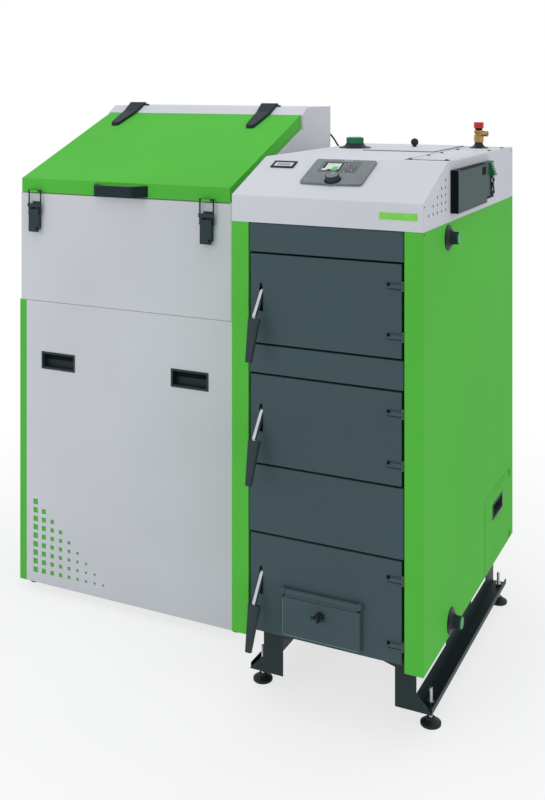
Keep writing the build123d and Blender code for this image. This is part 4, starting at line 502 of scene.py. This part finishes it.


# Draught flap: a folded plate that hangs on its axle in two lugs, with a painted highlight
# along its left and bottom edges, and a moulded wing screw that sets how far it opens.
flap_edge_painted_highlight = surfaced("flap_edge_painted_highlight", drawn_metal, swatch(120, 138, 142), 0.45, 500, 0.02, Metallic=0.35)
dress(black_plastic, "flap_screw")
# pale strips along the flap's left and bottom edges: a painted highlight
bm = bmesh.new()
slab(bm, (156.6, 157.8), (-12.4, -11.8), (230, 322), edge=0.2)
slab(bm, (158, 372), (-12.6, -11.8), (227.6, 229.2), edge=0.2)
settle(bm, "flap_edge", "flap", "slate_paint", flap_edge_painted_highlight)
bm = bmesh.new()
for wing_x in ((246, 256), (274, 284)):
    slab(bm, wing_x, (-33, -28), (294, 302), edge=1.4)
settle(bm, "flap_screw_wings", "flap_screw", "black_plastic", black_plastic)


# Casing: 2 mm sheets in a satin green powder coat, folded round the front and
# back edges and hung on the jacket. The rear sheet is galvanised and screwed on.
green_coat = surfaced(
    "green_coat", sprayed_coat, swatch(86, 187, 66), 0.62, 700, 0.05, edge=1.6, Specular_IOR_Level=0.1
)
dress(green_coat, "side_panel_left", "side_panel_right", "hatch_panel", "hopper_side_panels", "hopper_lid")

galvanised = surfaced("galvanised", drawn_metal, swatch(168, 174, 178), 0.42, 120, 0.02, Metallic=0.9)
dress(galvanised, "rear_panel", "auger_tube", "bin_funnel", "hopper_base")

CASING_W = 540
REAR_Y = 962
SHEET_SCREW = (5, 2.4)
bm = bmesh.new()
for x in (16, 190, 350, 524):
    for z in (214, 1290):
        cap_screw(bm, (x, REAR_Y, z), (0, 1, 0), *SHEET_SCREW)
for z in (480, 750, 1020):
    for x in (16, 524):
        cap_screw(bm, (x, REAR_Y, z), (0, 1, 0), *SHEET_SCREW)
settle(bm, "rear_screws", "boiler", "zinc_steel", zinc)


# Side hatch: a lift-off panel at the lower rear of the right side, with a thin
# rubber line round it, a moulded grip and two catches on the rear edge.
# pale moulded plastic, also used for the painted highlight strips on the hatch grip
pale_plastic_and_highlight = surfaced("pale_plastic_and_highlight", moulded_skin, swatch(150, 158, 156), 0.5, 900, 0.03)
bm = bmesh.new()
line_x = (CASING_W - 0.1, CASING_W + 0.2)
slab(bm, line_x, (599.2, 600), (196, 425))
slab(bm, line_x, (599.2, 914.8), (425, 425.8))
for z in (212, 410):
    slab(bm, (CASING_W - 0.1, CASING_W + 1.2), (914, 918), (z - 11, z + 11), edge=0.4)
# pale strips along the grip's lower and rear edges: a painted highlight
rim_x = (CASING_W, CASING_W + 2.2)
slab(bm, rim_x, (819.4, 821.2), (333.4, 382), edge=0.4, material=1)
slab(bm, rim_x, (759, 820), (332.2, 334), edge=0.4, material=1)
settle(bm, "hatch_trim", "boiler", "black_plastic", black_parts_and_painted_shade, pale_plastic_and_highlight)


# Pipe connections: black moulded collars, painted pipe stubs and the green
# plugs that keep them clean until the boiler is piped up.
green_plastic = surfaced("green_plastic", moulded_skin, swatch(14, 104, 62), 0.4, 800, 0.03, edge=0.6)
green_rim_highlight = surfaced("green_rim_highlight", moulded_skin, swatch(58, 158, 92), 0.35, 800, 0.03)
dress(black_plastic, "pipe_rosettes")
dress(black_coat, "pipe_stubs")
dress(green_plastic, "green_plugs")
STUB_END_X = 571
STUBS = ((217, 1268), (240, 232))
CAP_AT = (84, 705, 1503)
# lighter green rings on the plugs' and the cap's rims: a painted highlight
bm = bmesh.new()
for y, z in STUBS:
    ring = [(0, 0), (15, 0), (15, 0.8), (14.2, 1.4), (11.6, 1.4), (11, 0.4), (0, 0.4)]
    lathe(bm, ring, (STUB_END_X, y, z), (1, 0, 0), steps=32)
ring = [(0, 0), (25, 0), (25, 1), (24, 1.6), (21, 1.6), (20.5, 0.6), (0, 0.6)]
lathe(bm, ring, CAP_AT, (0, 0, 1), steps=48)
settle(bm, "plug_rings", "boiler", "green_plastic", green_rim_highlight)


# Cover: one folded sheet in a pale grey powder coat, with black sheets inside its perforated
# cheeks as painted shade behind the holes. A loose lid with a ball knob lies over the cleaning opening.
pale_coat = surfaced(
    "pale_coat", sprayed_coat, swatch(209, 211, 217), 0.6, 700, 0.05, edge=1.6, Specular_IOR_Level=0.15
)
dress(pale_coat, "cover_hood", "service_lid", "hopper_front_panel", "hopper_upper_walls", "hopper_top_cap")
dress(black_plastic, "service_knob")

COVER_TOP = 1470
NOSE_Z = 1380
SLOPE_RISE = 90
SLOPE_RUN = 213
bm = bmesh.new()
slab(bm, (405, 531), (262, 905), (COVER_TOP - 0.1, COVER_TOP + 0.6), edge=0.25)
settle(bm, "cover_strip", "boiler", "pale_paint", pale_coat)
bm = bmesh.new()
for x, y in ((413, 281), (519, 276), (416, 439), (421, 558), (418, 740), (521, 730), (524, 880)):
    cap_screw(bm, (x, y, COVER_TOP + 0.5), (0, 0, 1), 5.6, 2.4)
for y, z in ((6, 1371), (6, 1302), (944, 1460), (944, 1306)):
    cap_screw(bm, (CASING_W, y, z), (1, 0, 0), 2.2, 0.8)
    cap_screw(bm, (0, y, z), (-1, 0, 0), 2.2, 0.8)
# dark lines along the strip plate's left and front edges and round the service lid: painted shadow at the
# sheets' edges
for x, y, high in (
    ((404, 405), (260, 906), 1), ((404, 532), (259, 262), 1.2), ((154.6, 155.8), (588.6, 927), 1),
    ((155.8, 384.2), (587.6, 590.8), 1.2), ((384.2, 386.4), (587.6, 927), 1.2),
):
    slab(bm, x, y, (COVER_TOP - 0.1, COVER_TOP + high))
settle(bm, "cover_screws", "boiler", "black_steel", black_parts_and_painted_shade)
# black sheets behind the cheeks' perforations: painted shade inside the cover
bm = bmesh.new()
SHADE_SHEET_DROP = 8
for x in (3, CASING_W - 4):
    slab(bm, (x, x + 1), (30, 232), (1312, 1440))
bmesh.ops.bisect_plane(
    bm, geom=bm.verts[:] + bm.edges[:] + bm.faces[:], plane_co=(0, 0, NOSE_Z - SHADE_SHEET_DROP),
    plane_no=(0, -SLOPE_RISE, SLOPE_RUN), clear_outer=True,
)
bmesh.ops.holes_fill(bm, edges=bm.edges[:], sides=0)
settle(bm, "vent_painted_shade", "boiler", "black_steel", black_parts_and_painted_shade)


# Plain green plate: a blank moulded tab, glued to the front of the cover. Its
# edges are rounded off so that they do not catch a sleeve.
bright_green = surfaced("bright_green", moulded_skin, swatch(118, 206, 74), 0.45, 600, 0.01)
bm = bmesh.new()
slab(bm, (423, 524), (-1.0, 0), (1336, 1354), edge=0.3)
settle(bm, "front_plate", "boiler", "green_plastic", bright_green)


# Console: a moulded control panel with a dark window, a small screen and a ring
# of plain marks, a turning knob, and a small status display at its left.
SLOPE_DIP = math.atan2(SLOPE_RISE, SLOPE_RUN)
DIAL_X = 261
DIAL_S = 93
on_slope = from_corner @ Matrix.Translation((0, 0, NOSE_Z)) @ Matrix.Rotation(SLOPE_DIP, 4, "X")
panel_plastic = surfaced("panel_plastic", moulded_skin, swatch(112, 119, 120), 0.5, 1100, 0.03, edge=1.0)
window_glass = surfaced("window_glass", moulded_skin, swatch(82, 90, 92), 0.34, 300, 0.0)
screen_pale = surfaced("screen_pale", moulded_skin, swatch(214, 224, 220), 0.35, 300, 0.0)
screen_green = surfaced("screen_green", moulded_skin, swatch(70, 190, 96), 0.35, 300, 0.0)
dress(panel_plastic, "control_panel")
dress(black_plastic, "status_display")
dress(grip_plastic, "control_knob")

bm = bmesh.new()
slab(bm, (198.2, 309.8), (135.2, 197.8), (5.9, 6.5), edge=0.2, material=0)
slab(bm, (206, 258), (146, 192), (6.4, 6.8), material=4)
slab(bm, (212, 254), (154, 189), (6.7, 7.1), edge=0.15, material=1)
slab(bm, (206, 222), (148, 158), (6.7, 7.0), edge=0.1, material=1)
slab(bm, (234, 250), (146, 170), (7.0, 7.4), edge=0.15, material=2)
for turn in range(7):
    angle = math.radians(-75 + 25 * turn)
    x, s = 268 + 27 * math.cos(angle), 163 + 23 * math.sin(angle)
    slab(bm, (x - 4.4, x + 4.4), (s - 2.6, s + 2.6), (6.4, 6.9), edge=0.1, material=4)
    slab(bm, (x - 2.6, x + 2.6), (s - 1.4, s + 1.4), (6.8, 7.1), material=turn % 2 * 2 + 1)
for x in (258, 267, 276):
    slab(bm, (x - 2.6, x + 2.6), (204.4, 207), (6.9, 7.2), material=1)
for x in (184, 330):
    slab(bm, (x - 5, x + 5), (92, 94.5), (6.9, 7.2), material=3)
settle(
    bm, "panel_window", "boiler", "black_plastic",
    window_glass, screen_pale, screen_green, pale_plastic_and_highlight, black_parts_and_painted_shade, place=on_slope,
)
bm = bmesh.new()
ring = [(0, 0), (23.6, 0), (23.6, 0.3), (22.4, 0.8), (20.6, 0.4), (0, 0.4)]
lathe(bm, ring, (DIAL_X, DIAL_S, 7), (0, 0, 1), steps=48)
settle(bm, "panel_ring", "boiler", "black_plastic", black_parts_and_painted_shade, place=on_slope)
bm = bmesh.new()
lathe(bm, [(0, 0), (16.4, 0), (16.4, 0.3), (15.6, 0.7), (0, 0.5)], (DIAL_X, DIAL_S, 22.3), (0, 0, 1))
slab(bm, (DIAL_X - 0.8, DIAL_X + 0.8), (98, 107), (22.8, 23.2), edge=0.1, material=1)
settle(bm, "knob_top", "dial", "slate_plastic", panel_plastic, screen_pale, place=on_slope)
bm = bmesh.new()
slab(bm, (50.2, 106.8), (169.2, 193.8), (1.9, 2.6), edge=0.2)
slab(bm, (58, 99), (175, 188), (2.5, 2.9), edge=0.1, material=1)
settle(bm, "status_window", "boiler", "pale_plastic", screen_pale, pale_plastic_and_highlight, place=on_slope)


# Electronics box: a snapped-on plastic cover with a black end, a row of cooling
# slots along its top and a strip of plug-in sockets behind it.
slate_plastic = surfaced(
    "slate_plastic", moulded_skin, swatch(72, 88, 88), 0.6, 900, 0.04, edge=1.2, Specular_IOR_Level=0.15
)
dress(slate_plastic, "electronics_box")
dress(black_parts_and_painted_shade, "rocker_switch")
BOX_Z = (1330.4, 1446.6)
VENT_SLOTS = 13
VENT_STEP = 21
SOCKET_ROWS = 5
SOCKET_COLUMNS = 4
SOCKET_STEP = (9, 12)
bm = bmesh.new()
slab(bm, (540.2, 547.2), (237.3, 238.1), BOX_Z, edge=0.2)
slab(bm, (550.4, 561.8), (237.3, 238.1), BOX_Z, edge=0.2)
slab(bm, (547.3, 550.3), (239.6, 240.1), BOX_Z)
slab(bm, (561.9, 562.3), (238, 240.2), (1330.6, 1446.4))
for turn in range(VENT_SLOTS):
    y = 262 + VENT_STEP * turn
    slab(bm, (548, 562.5), (y, y + 15), (1443.4, 1447.4), edge=0.3)
slab(bm, (557.8, 558.5), (547, 637), (1340, 1346))
slab(bm, (557.8, 559.4), (599, 637.6), (1347, 1409), edge=0.4)
for row in range(SOCKET_ROWS):
    for column in range(SOCKET_COLUMNS):
        y, z = 601.5 + SOCKET_STEP[0] * column, 1349.5 + SOCKET_STEP[1] * row
        reach = 561.4 if (row + column) % 3 else 562.4
        slab(bm, (559, reach), (y, y + 6.5), (z, z + 8.5), edge=0.5, material=(row * 3 + column) % 5 // 4)
settle(bm, "box_trim", "boiler", "black_plastic", black_parts_and_painted_shade, pale_plastic_and_highlight)


# Safety valve: turned brass with a red test cap that lifts it when turned. A dark seal ring shows
# under the cap, and a dark disc in the outlet's mouth is painted shade inside it.
brass = surfaced("brass", drawn_metal, swatch(176, 146, 92), 0.34, 400, 0.02, Metallic=1.0)
red_plastic = surfaced("red_plastic", moulded_skin, swatch(196, 36, 34), 0.4, 800, 0.03, edge=0.5)
dress(brass, "safety_valve")
dress(red_plastic, "valve_cap")
VALVE_X = 455
VALVE_Y = 857
bm = bmesh.new()
neck = [(0, 1530), (11.5, 1530), (11.5, 1531), (11.9, 1532), (11.9, 1534), (11.4, 1535), (0, 1535)]
lathe(bm, neck, (VALVE_X, VALVE_Y, 0), (0, 0, 1), steps=32)
# dark disc in the outlet: painted shade
outlet = [(0, 484.6), (6.2, 484.6), (6.2, 485.1), (0, 485.1)]
lathe(bm, outlet, (0, VALVE_Y, 1517.25), (1, 0, 0), steps=24)
settle(bm, "valve_neck", "boiler", "black_plastic", black_parts_and_painted_shade)


# Pellet feed: a geared motor in a cast alloy housing that turns the auger, and a
# fan in black paint beside the feed tube, under the bin.
cast_alloy = surfaced("cast_alloy", rough_iron, swatch(140, 144, 146), 0.5, 220, 0.12, Metallic=0.7)
dress(cast_alloy, "gear_motor")
dress(black_coat, "blower")


# Hopper fittings: dark moulded grips set into the sheets, black steel hinges and
# toggle latches with wire bails, and a moulded bow handle on the lid's front.
latch_steel = surfaced(
    "latch_steel", sprayed_coat, swatch(40, 56, 62), 0.5, 700, 0.03, edge=0.8, Specular_IOR_Level=0.25
)
arm_plastic = surfaced(
    "arm_plastic", moulded_skin, swatch(20, 38, 42), 0.55, 900, 0.03, edge=1.2, Specular_IOR_Level=0.25
)
bail_wire = surfaced("bail_wire", drawn_metal, swatch(44, 52, 54), 0.4, 500, 0.02, Metallic=0.5)
dress(grip_plastic, "recess_grips")
dress(arm_plastic, "lid_handle", "lid_hinge_bases", "lid_hinge_arms")
dress(latch_steel, "latch_bases", "latch_lever_left", "latch_lever_right")
dress(bail_wire, "latch_bail_left", "latch_bail_right")

# dark slabs in the tops of the hopper grips' recesses: painted shade
bm = bmesh.new()
for low, high in ((-857, -732), (-362, -237)):
    slab(bm, (low + 3, high - 3), (291, 304), (787, 789), edge=0.4)
    slab(bm, (low + 5, high - 5), (303, 305), (771, 788), edge=0.4)
settle(bm, "grip_recess_painted_shade", "boiler", "black_plastic", black_parts_and_painted_shade)

RIVET = [(0, -22.6), (3.4, -22.6), (4.2, -21.8), (4.2, -20.4), (0, -20.4)]
for side, middle in (("left", -880), ("right", -233)):
    bm = bmesh.new()
    slab(bm, (middle + 10, middle + 17), (269.6, 270.1), (1198, 1207), edge=0.1)
    slab(bm, (middle - 19.2, middle + 19.2), (269.8, 270.4), (1192.2, 1193.6))
    slab(bm, (middle - 19.4, middle - 18.2), (269.8, 270.4), (1193, 1266))
    settle(bm, "lever_trim_" + side, "latch_" + side, "black_steel", black_parts_and_painted_shade)
    bm = bmesh.new()
    lathe(bm, RIVET, (middle, 280, 1265), (1, 0, 0), steps=18)
    slab(bm, (middle - 15, middle + 15), (287.4, 288.2), (1202, 1232), edge=0.3)
    settle(bm, "latch_rivet_" + side, "boiler", "zinc_steel", zinc)

foot_x = (from_corner.inverted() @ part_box("lid_handle")[1]).x
bm = bmesh.new()
cap_screw(bm, (foot_x - 12, 283, 1340), (1, -0.35, 0), 4.6, 2)
settle(bm, "handle_screw", "hopper_lid", "black_steel", black_parts_and_painted_shade)

HOPPER_REAR_Y = 1060
bm = bmesh.new()
for x in (-930, -550, -170):
    for z in (60, 500, 925):
        cap_screw(bm, (x, HOPPER_REAR_Y, z), (0, 1, 0), *SHEET_SCREW)
settle(bm, "hopper_screws", "boiler", "zinc_steel", zinc)
